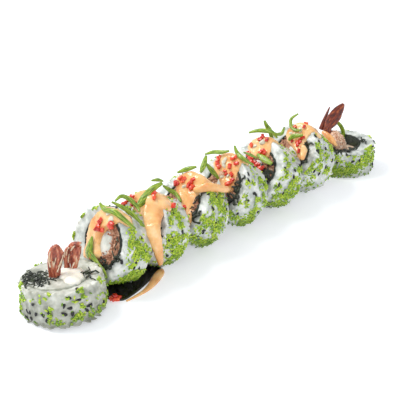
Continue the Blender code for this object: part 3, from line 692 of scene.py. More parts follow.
@dataclass(frozen=True)
class Slice:
    """One slice's place and sizes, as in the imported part, in millimetres and degrees.

    rise is how steeply the cut face looks up, and lean how far the slice tips towards +Y. In that face, filling is
    (across, up, radius) and prawn (across, up, half width, half height). bulges are (direction, level from -1 to 1,
    amount). sink is how far the slice's foot is pressed flat, and foot how far its lower rim rounds over.
    """

    x: float
    y: float
    rise: float
    radius: float
    thickness: float
    filling: tuple[float, float, float]
    prawn: tuple[float, float, float, float] | None = None
    bulges: tuple[tuple[float, float, float], ...] = ()
    sink: float = 1.6
    lean: float = 0.0
    foot: float = 1.6

    @property
    def half(self) -> float:
        """Half the thickness in metres."""
        return mm(self.thickness) / 2

    @property
    def lying(self) -> bool:
        """Whether the cut face looks straight up."""
        return self.rise > 60

    def axes(self) -> tuple[Vector, Vector, Vector]:
        """Across, up and out of the cut face."""
        rise = math.radians(self.rise)
        tip = Matrix.Rotation(-math.radians(self.lean), 3, "X")
        across = tip @ Vector((0, -1, 0))
        out = tip @ Vector((-math.cos(rise), 0, math.sin(rise)))
        return across, out.cross(across), out

    def matrix(self) -> Matrix:
        """From the slice's own frame, with Z out of its cut face, to the frame."""
        axes = self.axes()
        level = axes[2].z
        height = mm(self.radius) * math.sqrt(1 - level ** 2) + self.half * level
        centre = place(self.x, self.y, -self.sink) + Vector((0, 0, height))
        return Matrix.Translation(centre) @ Matrix(axes).transposed().to_4x4()

    def in_layout(self, across: float, up: float, height: float) -> Vector:
        """A point in the slice's own frame as millimetres of the row's layout."""
        return Matrix.Translation(-ROW_SHIFT) @ self.matrix() @ Vector((across, up, height)) * 1000

    def settle(self, shape: bmesh.types.BMesh) -> None:
        """Moves a shape from the slice's own frame to its place, clear of the ground."""
        bmesh.ops.transform(shape, matrix=self.matrix(), verts=shape.verts)
        lift_low(shape.verts, mm(0.3))

    def reach(self, angle: float, level: float) -> float:
        """The outer radius at an angle and a level, with the slice's bulges."""
        radius = mm(self.radius) - SKIN_DEPTH
        for direction, height, amount in self.bulges:
            turn = math.remainder(angle - math.radians(direction), math.tau)
            radius += mm(amount) * math.exp(-(turn / 0.6) ** 2 - ((level / self.half - height) / 0.7) ** 2)
        return radius

    def skin(self, angle: float, level: float) -> tuple[Vector, Vector]:
        """A point on the outer side, which rounds over at both rims, and its normal.

        Args:
            angle: round the axis, in radians, from across towards up.
            level: along the axis from the middle, in metres.

        Returns:
            The point and the normal, in the slice's own frame.
        """
        out = Vector((math.cos(angle), math.sin(angle), 0))
        rim = RIM if level > 0 else mm(self.foot)
        over = max(0.0, abs(level) - (self.half - rim)) / rim
        tip = math.asin(min(over, 1.0))
        radius = self.reach(angle, level) - rim * (1 - math.cos(tip))
        side = math.copysign(math.sin(tip), level)
        return out * radius + Vector((0, 0, level)), (out * math.cos(tip) + Vector((0, 0, side))).normalized()

    def sauce_point(self, across: float, height: float, lift: float) -> Vector:
        """A point over the cut face, or past the rim over the top.

        Args:
            across: sideways in the face, in metres.
            height: up in the face, and on over the rim, in metres.
            lift: the height over the rice, in metres.

        Returns:
            The point in the slice's own frame.
        """
        radius = mm(self.radius)
        edge = math.sqrt(max((radius - RIM) ** 2 - across ** 2, mm(1) ** 2))
        if height <= edge:
            return Vector((across, height, self.half + lift))
        out = Vector((across, edge, 0)).normalized()
        over = height - edge
        quarter = RIM * math.pi / 2
        turn = min(over / quarter, 1) * math.pi / 2
        back = max(over - quarter, 0)
        reach = radius - RIM + (RIM + lift) * math.sin(turn)
        return out * reach + Vector((0, 0, self.half - RIM + (RIM + lift) * math.cos(turn) - back))


SLICES = {
    1: Slice(-143.0, -3.4, 91, 24.6, 22.2, (-1.6, -1.4, 17.6), sink=2.45, lean=5, foot=5.5,
             bulges=((-136, -0.8, 1.6), (40, 0.2, 1.3))),
    2: Slice(-100.6, 0.6, 20, 23.6, 23.0, (3.0, 3.6, 15.8), (5.5, 3.3, 5.0, 8.2)),
    3: Slice(-69.4, -1.3, 30.7, 22.4, 24.7, (1.0, 1.6, 15.2), (2.5, 1.0, 5.2, 7.4)),
    4: Slice(-32.0, -0.8, 37.1, 22.0, 25.9, (0.0, 1.0, 14.4), (1.0, 2.0, 6.0, 5.4)),
    5: Slice(7.9, 0.2, 33.5, 22.2, 26.0, (1.0, 1.0, 14.6), (0.5, 2.5, 5.0, 7.0)),
    6: Slice(45.5, 0.6, 32.5, 22.7, 26.1, (1.0, 1.0, 14.2), (-2.0, 1.0, 5.6, 6.8)),
    7: Slice(83.1, 0.4, 35.1, 22.5, 27.2, (0.0, 1.0, 14.2), (1.5, 1.0, 5.0, 7.2)),
    8: Slice(138.4, 0.2, 87, 22.8, 23.4, (-2.4, -2.4, 16.0), bulges=((50, 0.5, 1.4),), sink=2.8),
}


SKIN_DEPTH = mm(0.45)  # how far the rice under the grains stays inside a slice's outer side
CORE_LEVELS = (0.985, 0.93, 0.8, 0.5, 0.17, -0.17, -0.5, -0.8, -0.93, -0.985)
CORE_ANGLES = 72


@dataclass
class PackedRice:
    """The rice of one slice: grains pressed together over a core, round the filling's hole."""

    number: int
    size: Slice
    spacing: float = 2.3
    tries: int = 3600
    voxel: float = 0.68

    def core(self, heap: Heap) -> None:
        """Adds the rice under the grains as a thick ring."""
        size = self.size
        across, up, hole = (mm(v) for v in size.filling)
        hole += mm(0.15)
        rings = []
        for k in range(CORE_ANGLES):
            angle = math.tau * k / CORE_ANGLES
            inner = Vector((across, up, 0)) + Vector((math.cos(angle), math.sin(angle), 0)) * hole
            line = [inner + Vector((0, 0, size.half - SKIN_DEPTH))]
            for share in CORE_LEVELS:
                point, normal = size.skin(angle, size.half * share)
                line.append(point - normal * SKIN_DEPTH)
            line.append(inner - Vector((0, 0, size.half - SKIN_DEPTH)))
            rings.append(line)
        matrix = size.matrix()
        flat = [matrix @ point for line in rings for point in line]
        points = np.array([(p.x, p.y, max(p.z, mm(0.2))) for p in flat])
        length = len(rings[0])
        faces = []
        for k in range(CORE_ANGLES):
            a, b = k * length, (k + 1) % CORE_ANGLES * length
            for j in range(length):
                n = (j + 1) % length
                faces += [(a + j, a + n, b + n), (a + j, b + n, b + j)]
        heap.add(points, np.array(faces)[:, ::-1])

    def spots(self, draw: random.Random) -> list[tuple[Vector, Vector]]:
        """Places for the grains, spread evenly over the side and both faces.

        Args:
            draw: the slice's own random numbers.

        Returns:
            Points and normals in the slice's frame.
        """
        size = self.size
        radius = mm(size.radius)
        across, up, hole = (mm(v) for v in size.filling)
        side_share = 2 * radius * size.half * 2 / (2 * radius * size.half * 2 + 2 * (radius ** 2 - hole ** 2))
        found: list[tuple[Vector, Vector]] = []
        taken = np.full((self.tries, 3), 9.0)
        for _ in range(self.tries):
            if draw.random() < side_share:
                point, normal = size.skin(draw.uniform(0, math.tau), draw.uniform(-1, 1) * size.half)
            else:
                angle, out = draw.uniform(0, math.tau), radius * math.sqrt(draw.random()) * 0.97
                point = Vector((math.cos(angle) * out, math.sin(angle) * out, 0))
                if math.hypot(point.x - across, point.y - up) < hole + mm(1.1):
                    continue
                normal = Vector((0, 0, draw.choice((-1, 1))))
                point.z = normal.z * (size.half - mm(0.35))
            if (np.abs(taken[:len(found)] - point).max(axis=1) < mm(self.spacing) * 0.75).any():
                near = np.linalg.norm(taken[:len(found)] - point, axis=1)
                if near.min() < mm(self.spacing):
                    continue
            taken[len(found)] = point
            found.append((point, normal))
        return found

    def build(self) -> None:
        """Builds the slice's rice."""
        draw = random.Random(100 + self.number)
        heap = Heap()
        self.core(heap)
        matrix = self.size.matrix()
        turn = matrix.to_3x3()
        templates = [grain_template(bend) for bend in (-0.12, 0.05, 0.16)]
        for point, normal in self.spots(draw):
            flatness = 0.7 if abs(normal.z) > 0.8 else 1.0
            tilt = spun(draw.gauss(0, 0.16) * flatness, "Y")
            spin = spun(draw.uniform(0, math.tau))
            grain = mm(draw.uniform(2.2, 3.0), draw.uniform(1.15, 1.4), draw.uniform(0.95, 1.2) * flatness)
            sunk = matrix @ (point - normal * mm(draw.uniform(0.5, 0.95)) * flatness)
            stand = Matrix.Translation(sunk) @ standing(turn @ normal)
            heap.drop(draw.choice(templates), stand @ spin @ tilt @ sized(grain), mm(0.02))
        mesh = Board.fused(heap.mesh("rice"), "rice", mm(self.voxel), 2)
        finish = END_RICE if self.number == 1 else RICE
        Board.serve(f"packed_rice_{self.number}", mesh, finish, "cooked_rice", [f"rice_{self.number}"])


# Sesame seen on each slice: angle round the axis in degrees, and level in millimetres.
SEEN_SESAME = {
    1: ((-15, 11.5), (-29, 8.5), (-16, 5.8), (-36, 3.6), (-29, 1.8), (2, -0.3), (-6, -2.0), (30, -4.4), (-56, -1.0),
        (-67, -2.2), (-78, -2.6), (-89, -2.4), (-98, -7.1), (-112, -11.0), (-88, -6.6), (-82, -10.6), (-37, -1.4),
        (-26, -2.2), (-15, -3.9), (-81, 3.4), (-95, -2.8), (-61, -5.0), (-2, -0.1)),
    2: ((-6, 11.3), (-7, -0.1), (10, -1.1), (-18, -4.5), (30, -2.2), (-18, 0.1)),
    3: ((51, 4.3), (3, 5.4), (-2, 6.5), (17, -4.2), (-28, -11.5), (-28, -0.4), (45, 4.3), (-17, -1.5)),
    4: ((38, 12.4), (43, 3.7), (17, 7.4), (-1, -1.6), (-24, 4.8), (-27, 3.9), (-40, 4.4), (-43, 9.9), (27, -8.1)),
    5: ((-7, 7.9), (11, 3.7), (-35, 7.4), (-34, -8.5), (-17, -9.7), (9, 1.2), (41, 11.5), (29, 12.0)),
    6: ((19, 11.2), (-11, 11.8), (24, -2.2), (12, -1.2), (-23, 1.5), (38, -9.3)),
    7: ((20, 12.8), (52, 12.6), (42, 10.0), (21, 12.5), (2, -2.2), (-15, 8.2), (-16, 0.8), (35, 1.0), (20, -8.9)),
    8: ((-22, 4.3), (-66, 4.5), (11, 2.2), (47, 10.5), (21, 10.8), (-35, 5.0)),
}


# Clumps of roe on each slice: angle round the axis in degrees, level and spread in millimetres, and how many.
ROE_CLUMPS = {
    1: ((-117, 11, 1.3, 22), (-56, 11, 0.5, 4), (-12, 11, 1.4, 26), (27, 11, 1.2, 14), (50, -3.3, 1.8, 40),
        (34, -5.9, 1.5, 20), (18, -6.6, 1.2, 12), (-9, 7, 0.9, 10), (-12, 1.1, 0.9, 12), (-15, -4.4, 1.7, 34),
        (-54, 2.2, 0.7, 10), (-56, -2.2, 0.9, 14), (-57, -5.9, 1, 10), (-24, -6.2, 1.4, 14), (-69, 6.2, 0.7, 6),
        (-60, 8.4, 0.6, 5), (-30, 8.4, 0.7, 6), (-20, 4.8, 0.6, 5), (-44, -6.2, 1.7, 8), (2, -5.5, 1.7, 12)),
    2: ((39, 4.9, 1.5, 18), (22, 6.5, 2.4, 50), (16, 0, 3, 80), (7, -5.7, 2.7, 60), (3, 1.5, 2.4, 40),
        (-12, 4.2, 1.8, 16), (-44, 0.4, 3, 70), (-33, -3, 3, 80), (-29, -8.3, 2.4, 60), (-44, -10.2, 2.5, 40),
        (146, 11.4, 1.9, 26), (-178, 11.4, 1.6, 22), (-56, 3.4, 2.4, 26), (-2, -9.9, 2.1, 30), (117, 11.4, 1.8, 10)),
    3: ((66, 0.8, 1.9, 26), (48, 2.4, 2.5, 50), (40, -0.4, 2.5, 44), (29, 7.3, 1.8, 26), (27, -3.3, 1.9, 24),
        (0, 5.3, 3.1, 50), (3, -2, 3.1, 60), (-15, -4.9, 3.1, 60), (-22, -11.4, 2.5, 40), (-4, -10.6, 1.9, 24),
        (-33, -7.7, 3.1, 40), (-44, -6.1, 2.5, 22), (12, -9, 1.9, 16)),
    4: ((58, 12.4, 1.6, 14), (46, 10.7, 2.2, 36), (33, 7.7, 2.9, 70), (46, -1.3, 2.6, 46), (27, -0.9, 2.9, 60),
        (22, -6, 2, 26), (-6, 12.8, 2.2, 30), (-6, 4.7, 2.9, 56), (-9, -4.7, 3.2, 66), (6, -5.1, 2.3, 30),
        (-48, 7.3, 2.9, 50), (-50, -3, 3.3, 66), (-45, -9.8, 3.3, 66), (-33, -10.7, 2.6, 40), (-24, 10.3, 1.9, 16)),
    5: ((24, 12.9, 1.2, 10), (27, 6, 1.2, 10), (39, -3.4, 2, 30), (32, -9, 2, 36), (0, 12.4, 1.1, 12),
        (-15, 12.9, 1.3, 14), (-9, 8.6, 1, 8), (3, -1.3, 1.5, 18), (14, -6.9, 1.5, 14), (-16, 5.6, 1, 8),
        (-45, 12.4, 2.3, 34), (-45, 4.3, 2.4, 34), (-40, -4.7, 2.4, 40), (-20, -4.3, 2.7, 44),
        (-53, -9.4, 2.7, 50), (3, -10.7, 2, 26), (-38, -10.7, 2.4, 34)),
    6: ((50, 7.8, 1.3, 12), (38, 8.6, 1.5, 16), (29, 6.9, 1.5, 18), (72, -11.2, 1.3, 12), (45, -1.7, 1.3, 10),
        (16, 11.6, 1.1, 10), (10, 8.2, 2.1, 28), (29, -8.2, 2.1, 24), (0, 12.9, 1.1, 6), (6, -4.3, 2.5, 34),
        (-6, -0.9, 2.1, 26), (-18, 10.8, 2.1, 26), (-34, 6, 2.1, 24), (-27, -1.7, 3.2, 50), (-20, -7.8, 3.2, 50),
        (-53, -1.7, 2.5, 40), (-46, -9, 2.8, 40), (-2, -12.1, 2.5, 34), (-39, -12.1, 2.1, 24)),
    7: ((33, 13.5, 1.6, 18), (22, 9.9, 2, 30), (62, -6.7, 1.6, 18), (51, -9, 2.2, 34), (76, -3.6, 1.5, 14),
        (24, 0.9, 1.6, 18), (6, 9.9, 2.2, 28), (-16, 13.5, 1.9, 24), (-6, 13.5, 1.4, 14), (-3, 4, 1.9, 24),
        (-4, -5.4, 2.1, 28), (-26, 13.5, 1.6, 14), (-45, -0.9, 2.2, 14), (39, -9, 1.5, 16), (-26, 4.5, 2.2, 10)),
    8: ((2, 11.6, 2.7, 40), (6, 10.8, 3.1, 66), (-4, 6.6, 3.1, 60), (18, 2.3, 2.3, 40), (62, 11.6, 1.6, 12),
        (-72, -1.9, 2.7, 50), (-60, -3.9, 3.1, 60), (-46, -2.7, 3.1, 60), (-34, -1.5, 3.1, 56),
        (-21, 1.5, 3.1, 56), (-3, 1.5, 2.7, 44), (-44, 3.1, 1.5, 14), (-33, 9.3, 1.2, 8), (-60, 5.8, 1.4, 8),
        (-69, 8.5, 1.7, 16), (-74, -6.2, 2.3, 26)),
}


@dataclass
class Seasoning:
    """Green roe and black sesame pressed into the rice of every slice.

    Besides its clumps each slice has loose grains of roe, as many as loose holds, and hidden ones at the back. crowd
    is how many grains a clump gets for each one in its table, and more_sesame how many unseen seeds are tried.
    """

    loose: tuple[int, ...] = (60, 90, 90, 110, 90, 100, 100, 110)
    hidden: int = 300
    crowd: float = 1.15
    more_sesame: int = 30

    @staticmethod
    def settle(heap: Heap, thing: Template, size: Slice, spot: tuple[float, float], shape: Vector, lift: float,
               draw: random.Random, tilt: float) -> None:
        """Presses one thing into a slice's side.

        Args:
            heap: where it goes.
            thing: its template.
            size: the slice.
            spot: angle round the axis in radians, and level in metres.
            shape: its half sizes.
            lift: how far it stands off the rice.
            draw: random numbers.
            tilt: how far it may tip.
        """
        matrix = size.matrix()
        point, normal = size.skin(spot[0], spot[1])
        spin = spun(draw.uniform(0, math.tau)) @ spun(draw.gauss(0, tilt), "Y")
        stand = Matrix.Translation(matrix @ (point + normal * lift)) @ standing(matrix.to_3x3() @ normal)
        heap.drop(thing, stand @ spin @ sized(shape), mm(0.02))

    def roe_spots(self, number: int, size: Slice, draw: random.Random) -> list[tuple[float, float]]:
        """Where the roe lies on one slice: clumps that show, loose grains, and more low down and at the back.

        Args:
            number: the slice.
            size: its sizes.
            draw: random numbers.

        Returns:
            Angles and levels.
        """
        spots = []
        around = mm(size.radius)
        for angle, level, spread, count in ROE_CLUMPS[number]:
            for _ in range(round(count * self.crowd)):
                turn = math.radians(angle) + draw.gauss(0, mm(spread) * 0.75) / around
                spots.append((turn, mm(level) + draw.gauss(0, mm(spread) * 0.75)))
        for _ in range(self.loose[number - 1]):
            spots.append((draw.uniform(-1.5, 1.5), draw.uniform(-0.95, 0.95) * size.half))
        wanted = len(spots) + self.hidden
        while len(spots) < wanted:
            turn, level = draw.uniform(math.pi / 2, 1.5 * math.pi), draw.uniform(-0.95, 0.95) * size.half
            if wander(size.skin(turn, level)[0], 110, number) > draw.uniform(-0.1, 0.5):
                spots.append((turn, level))
        edge = size.half * 0.99
        return [(turn, max(-edge, min(edge, level))) for turn, level in spots]

    def build(self) -> None:
        """Builds both kinds over all slices."""
        roe, sesame = Heap(), Heap()
        grain, seed = Template.ball(1, Vector.copy), sesame_template()
        for number, size in SLICES.items():
            draw = random.Random(700 + number)
            for spot in self.roe_spots(number, size, draw):
                shape = mm(draw.uniform(0.7, 1.5), draw.uniform(0.5, 0.75), draw.uniform(0.42, 0.6))
                self.settle(roe, grain, size, spot, shape, mm(draw.uniform(0.1, 0.85)), draw, 0.5)
            seen = [(math.radians(angle), mm(level)) for angle, level in SEEN_SESAME[number]]
            more = [(draw.uniform(0, math.tau), draw.uniform(-0.9, 0.9) * size.half) for _ in range(self.more_sesame)]
            shown_side = -0.7 if size.lying else 0.0
            for spot in seen + [e for e in more if math.cos(e[0] - shown_side) < 0.45]:
                shape = mm(draw.uniform(1.5, 2.1), draw.uniform(1.05, 1.4), draw.uniform(0.6, 0.75))
                self.settle(sesame, seed, size, spot, shape, mm(0.35), draw, 0.15)
        Board.serve("green_roe", roe.mesh("green_roe"), ROE, "cooked_rice")
        Board.serve("black_sesame", sesame.mesh("black_sesame"), SESAME, "cooked_rice")


@dataclass
class RolledFilling:
    """The nori of one slice, with the fried crust and the prawn where it has them."""

    number: int
    size: Slice
    wall: float = 1.1
    steps: int = 96
    crumbs: int = 230

    def nori(self) -> None:
        """Builds the sheet of nori round the filling, with an uneven cut edge, which lies lower in slice 1."""
        size = self.size
        across, up, outer = (mm(v) for v in size.filling)
        matrix = size.matrix()
        shape = bmesh.new()
        rings = []
        for k in range(self.steps):
            angle = math.tau * k / self.steps
            out = Vector((math.cos(angle), math.sin(angle), 0))
            ragged = mm(0.6) * wander(out, 4.5, self.number) + mm(0.3) * wander(out, 11, self.number + 4)
            ragged -= mm(1.2) if self.number == 1 else 0
            sway = mm(0.35) * wander(out, 2.2, self.number + 9)
            top, low = size.half - mm(0.05) + ragged, mm(0.9) - size.half
            centre = Vector((across, up, 0)) + out * sway * 0.6
            line = [centre + out * (outer - reach) + Vector((0, 0, z)) for reach, z in
                    ((0, top), (0, 0), (0, low), (mm(self.wall), low), (mm(self.wall), 0), (mm(self.wall), top))]
            placed = [matrix @ p for p in line]
            rings.append([shape.verts.new((p.x, p.y, max(p.z, mm(0.05)))) for p in placed])
        join_rings(shape, [rings[-1], *rings])
        mesh = finished_mesh(shape, "nori")
        Board.serve(f"nori_sheet_{self.number}", mesh, NORI, "nori", [f"nori_{self.number}"])

    def crust(self) -> None:
        """Builds the fried crust as a craggy disc with crumbs standing on it."""
        size = self.size
        across, up, outer = (mm(v) for v in size.filling)
        filled = outer - mm(self.wall) - mm(0.1)
        matrix = size.matrix()
        heap = Heap()
        shape = bmesh.new()
        bmesh.ops.create_circle(shape, cap_ends=False, radius=filled, segments=64)
        rings = [list(shape.verts)]
        for share in (0.97, 0.9, 0.8, 0.7, 0.6, 0.5, 0.4, 0.3, 0.2, 0.1):
            rings.append([shape.verts.new(v.co * share) for v in rings[0]])
        join_rings(shape, rings)
        shape.faces.new(rings[-1])
        for i, ring in enumerate(rings):
            for vertex in ring:
                rough = 0.6 * wander(vertex.co, 420, self.number) + 0.5 * wander(vertex.co, 1100, self.number + 3)
                vertex.co.z = size.half - mm(0.55) + mm(0.9) * rough if i else mm(0.9) - size.half
        crags = Template.from_shape(shape, lambda p: p + Vector((across, up, 0)))
        turned = np.array([tuple(matrix @ Vector(p)) for p in crags.points])
        turned[:, 2] = np.maximum(turned[:, 2], mm(0.1))
        heap.add(turned, crags.faces)
        draw = random.Random(300 + self.number)
        crumbs = [crumb_template(seed) for seed in (1, 2, 3, 4)]
        for _ in range(self.crumbs):
            angle, reach = draw.uniform(0, math.tau), filled * math.sqrt(draw.uniform(0.2, 0.97))
            point = Vector((across + math.cos(angle) * reach, up + math.sin(angle) * reach,
                            size.half + mm(draw.uniform(-0.6, 0.1))))
            big = draw.uniform(0.45, 1.25)
            scale = sized(mm(big, big * draw.uniform(0.5, 1), big * draw.uniform(0.5, 1)))
            spin = spun(draw.uniform(0, 6), Vector((draw.random(), draw.random(), 1)))
            heap.drop(draw.choice(crumbs), matrix @ Matrix.Translation(point) @ spin @ scale)
        mesh = heap.mesh("crust")
        Board.serve(f"fried_crust_{self.number}", mesh, CRUST, "fried_crust", [f"crust_{self.number}"])

    def prawn(self) -> None:
        """Builds the prawn's pale flesh, domed a little out of the cut face."""
        size = self.size
        across, up, wide, tall = (mm(v) for v in size.prawn)
        shape = bmesh.new()
        bmesh.ops.create_uvsphere(shape, u_segments=40, v_segments=24, radius=1)
        for vertex in shape.verts:
            c = vertex.co
            lumpy = 1 + 0.07 * wander(c, 1.6, self.number)
            deep = mm(1.6) * c.z if c.z > 0 else size.half * 1.8 * c.z
            vertex.co = Vector((across + wide * c.x * lumpy, up + tall * c.y * lumpy, size.half - mm(0.9) + deep))
            vertex.co.z += mm(0.18) * wander(vertex.co, 350, self.number)
        size.settle(shape)
        mesh = finished_mesh(shape, "prawn")
        Board.serve(f"prawn_flesh_{self.number}", mesh, PRAWN, "prawn", [f"prawn_{self.number}"])

    def build(self) -> None:
        """Builds the filling's pieces."""
        self.nori()
        if self.size.prawn:
            self.crust()
            self.prawn()


# ---------------------------------------------------------------- sauce and toppings

# The sheet of sauce on each slice: height in its cut face, and the sheet's left and right ends there.
SAUCE_ROWS = {
    2: ((-11, -9, -4.5), (-8, -10.5, 2.5), (-5, -10.6, 5.5), (-1.5, -10.4, 3.2), (3, -10.6, 1.5),
        (8, -10.8, 3), (13, -10.4, 6.5), (17.5, -8, 11), (21.5, -4, 14.5), (26, 0, 15), (30, 3, 13)),
    3: ((-7, 9.5, 17), (-3, 5.5, 18.5), (1, 0, 17), (5, -7.5, 13.5), (9, -12, 12.3), (13, -15, 13.2),
        (17, -12.5, 14), (21, -9, 14.5), (26, -4, 13), (31, 0, 11)),
    4: ((-11, 11.5, 14), (-8.5, 8.5, 14.8), (-5, 5, 13.8), (-1, 1.5, 12), (3, -2.5, 10.7), (7, -8, 10),
        (11.5, -11, 10.2), (16, -12.5, 10.5), (20, -8, 11), (25, -4, 12), (30, 0, 14)),
    5: ((-3, 4, 8.5), (0, 0.5, 11), (4, -4, 11.8), (8, -9.5, 10.8), (12, -12.5, 9.6), (16, -13.2, 9),
        (20, -10, 9), (24.5, -5, 9), (29, -1, 9)),
    6: ((7.5, -8, 0), (9.5, -12, 5), (13, -14.3, 6.3), (17, -13, 5), (21, -10, 4), (25, -6, 4), (29, -3, 4.5)),
    7: ((-4, 9, 11), (-1, 7, 11), (3, 1.5, 10.8), (7, -6.5, 9.8), (11, -10, 9.2), (15, -10.5, 8.6),
        (19, -8.5, 10), (23, -4, 12.5), (28, -1, 12), (32, 2, 10)),
}

# Where a run leaves its sheet as a broad fall: X, Y, Z and half width.
FALLS = {
    3: ((-68.5, -6.5, 47.8, 6.0), (-73.0, -9.8, 45.3, 6.6), (-78.5, -13.6, 42.6, 6.4), (-83.0, -17.6, 39.4, 5.4),
        (-85.6, -21.2, 34.2, 4.3), (-85.6, -22.8, 28.6, 3.4)),
}

# Runs of sauce: X, Y, Z and half width along each, and half its thickness.
RUNS = {
    3: (((-84.5, -18.5, 39, 4.8), (-86, -23, 31.5, 4.0), (-84.5, -23.5, 23.5, 3.2), (-81.5, -22, 15, 2.3),
         (-79.8, -20.5, 10.5, 1.4)), 2.2),
    4: (((-38, -9, 43, 1.8), (-33, -16, 46, 3.2), (-26, -18, 43.5, 2.8), (-17, -17.5, 39.5, 2.5),
         (-9, -13.5, 36, 2.0)), 2.2),
    7: (((73, -9, 40, 1.8), (69, -14, 40.5, 2.8), (64, -17, 38.5, 2.2), (61.5, -18.5, 36, 1.4)), 1.8),
    8: (((122, -5, 24, 0.96), (121, 0, 28.4, 2.4), (121.2, 5, 30.8, 2.4), (122, 9.5, 31.6, 1.6)), 1.5),
}

# Diced pepper: across and up in the cut face.
DICE = {
    2: ((-1.2, 15.2), (-0.4, 16.6), (-2.9, 9.8), (-1.2, 11.0), (1.4, 11.6), (8.6, 16.5), (9.4, 15.4), (-2.3, -7.9),
        (-0.6, -7.4)),
    3: ((-7.6, 11.8), (-6.4, 12.8), (-10.4, 16.4), (5.0, 20.5), (6.4, 21.6), (11.2, 10.5), (-3.4, 6.4), (-14.6, 9.0),
        (-12.4, 13.0), (-11.4, 14.6), (13.0, 22.6)),
    4: ((-6.2, 14.6), (-9.3, 12.0), (-8.4, 13.2), (-5.0, 17.6), (-7.4, 15.8), (1.8, 17.4), (1.4, 15.6), (3.6, 12.6),
        (3.8, 14.0), (4.5, -2.2), (5.4, -1.0), (4.8, -4.0)),
    5: ((-9.4, 18.6), (-8.8, 15.2), (-8.6, 17.0), (-8.0, 12.6), (-6.2, 11.8), (2.4, 14.2), (0.2, 11.4), (1.2, 19.6),
        (2.6, 20.6), (6.4, 17.8), (5.4, 10.2), (2.0, 9.0), (8.7, 6.0), (7.6, 4.4), (6.0, 3.0), (4.2, 1.2),
        (6.2, 0.4), (9.0, 0.4), (8.2, -1.4)),
    6: ((-5.2, 20.6), (-4.2, 21.4), (0.2, 21.4), (2.9, 12.8), (1.8, 13.6), (-1.2, 11.0), (-10.6, 14.4), (-10.4, 8.4),
        (-8.6, 7.2), (-7.2, 6.2), (-5.6, 5.4), (-4.2, 4.2), (-2.6, 4.4), (-1.6, 3.0), (0.2, 2.6), (1.4, 3.6),
        (2.6, 1.6), (4.4, 2.6), (5.4, 1.2)),
    7: ((4.2, 9.6), (3.0, 8.8), (5.4, 10.8), (-1.4, 9.2), (6.6, 12.8), (3.0, 20.2), (2.2, 21.6), (8.0, 3.4),
        (-4.6, 19.0), (-5.6, 17.4)),
}

# Chopped bits in the sauce: across and up in the cut face, and half size.
PALE_PIECES = {
    2: ((7.4, 19.0, 2.0), (4.0, 21.5, 1.5)),
    4: ((-2.4, 12.0, 1.4),),
    5: ((-4.0, 16.6, 2.5), (-3.0, 14.2, 2.0), (-0.6, 6.4, 1.4), (3.6, 8.2, 1.2)),
    6: ((-2.6, 19.2, 2.2), (-7.6, 15.0, 1.5)),
    7: ((1.0, 18.2, 1.7), (-5.6, 13.6, 1.3)),
}
BROWN_PIECES = {5: ((-1.6, 8.0, 1.9), (-2.6, 6.4, 1.5)), 6: ((7.4, 4.4, 1.6), (6.2, 6.0, 1.3))}


@dataclass
class SauceCover:
    """The sauce on one slice: a soft sheet over the cut face and the rim, with its hanging run."""

    number: int
    columns: int = 20
    steps: int = 5

    def sheet(self, shape: bmesh.types.BMesh) -> None:
        """Adds the sheet, thick in the middle with blunt round edges."""
        size = SLICES[self.number]
        matrix = size.matrix()
        rows = smooth_path(SAUCE_ROWS[self.number], self.steps)
        layers: dict[bool, list[list[bmesh.types.BMVert]]] = {True: [], False: []}
        for i, (height, left, right) in enumerate(rows):
            end = min(i, len(rows) - 1 - i) / 3
            blunt = math.sqrt(1 - (1 - min(end, 1)) ** 2)
            for upper, lines in layers.items():
                line = []
                for k in range(self.columns + 1):
                    share = k / self.columns
                    swell = (1 - abs(2 * share - 1) ** 3.2) ** 0.5 * blunt
                    wavy = mm(0.6) * noise.noise(Vector((0.7 * i / self.steps, share * 2, self.number * 3.3)))
                    wavy += mm(0.7) * noise.noise(Vector((2.6 * i / self.steps, share * 2, self.number * 1.7)))
                    across = mm(left + (right - left) * share) + wavy
                    flow = noise.noise(Vector((share * 3.4, i * 0.45 / self.steps, self.number * 5.0)))
                    flow += 0.5 * noise.noise(Vector((share * 8, i * 0.8 / self.steps, self.number * 2.0)))
                    lift = mm(0.1) + SAUCE * swell * (0.88 + 0.5 * flow) if upper else -mm(0.7)
                    line.append(shape.verts.new(matrix @ size.sauce_point(across, mm(height), lift)))
                lines.append(line)
        high, low = layers[True], layers[False]
        for i in range(len(rows) - 1):
            for k in range(self.columns):
                shape.faces.new((high[i][k], high[i][k + 1], high[i + 1][k + 1], high[i + 1][k]))
                shape.faces.new((low[i][k], low[i + 1][k], low[i + 1][k + 1], low[i][k + 1]))
            for k in (0, self.columns):
                shape.faces.new((low[i][k], low[i + 1][k], high[i + 1][k], high[i][k]))
        for i in (0, len(rows) - 1):
            for k in range(self.columns):
                shape.faces.new((low[i][k], low[i][k + 1], high[i][k + 1], high[i][k]))

    def build(self) -> None:
        """Builds the sheet and the run as one skin."""
        shape = bmesh.new()
        if self.number in SAUCE_ROWS:
            self.sheet(shape)
        if self.number in FALLS:
            Strip(FALLS[self.number], 2.2, sides=20, ripple=0.12).add_to(shape)
        if self.number in RUNS:
            points, depth = RUNS[self.number]
            Strip(points, depth, sides=18, ripple=0.14).add_to(shape)
        bmesh.ops.recalc_face_normals(shape, faces=shape.faces)
        mesh = Board.melted(shape, "sauce", mm(0.5), 7)
        Board.serve(f"sauce_cover_{self.number}", mesh, SAUCE_COAT, "orange_sauce", [f"sauce_{self.number}"])


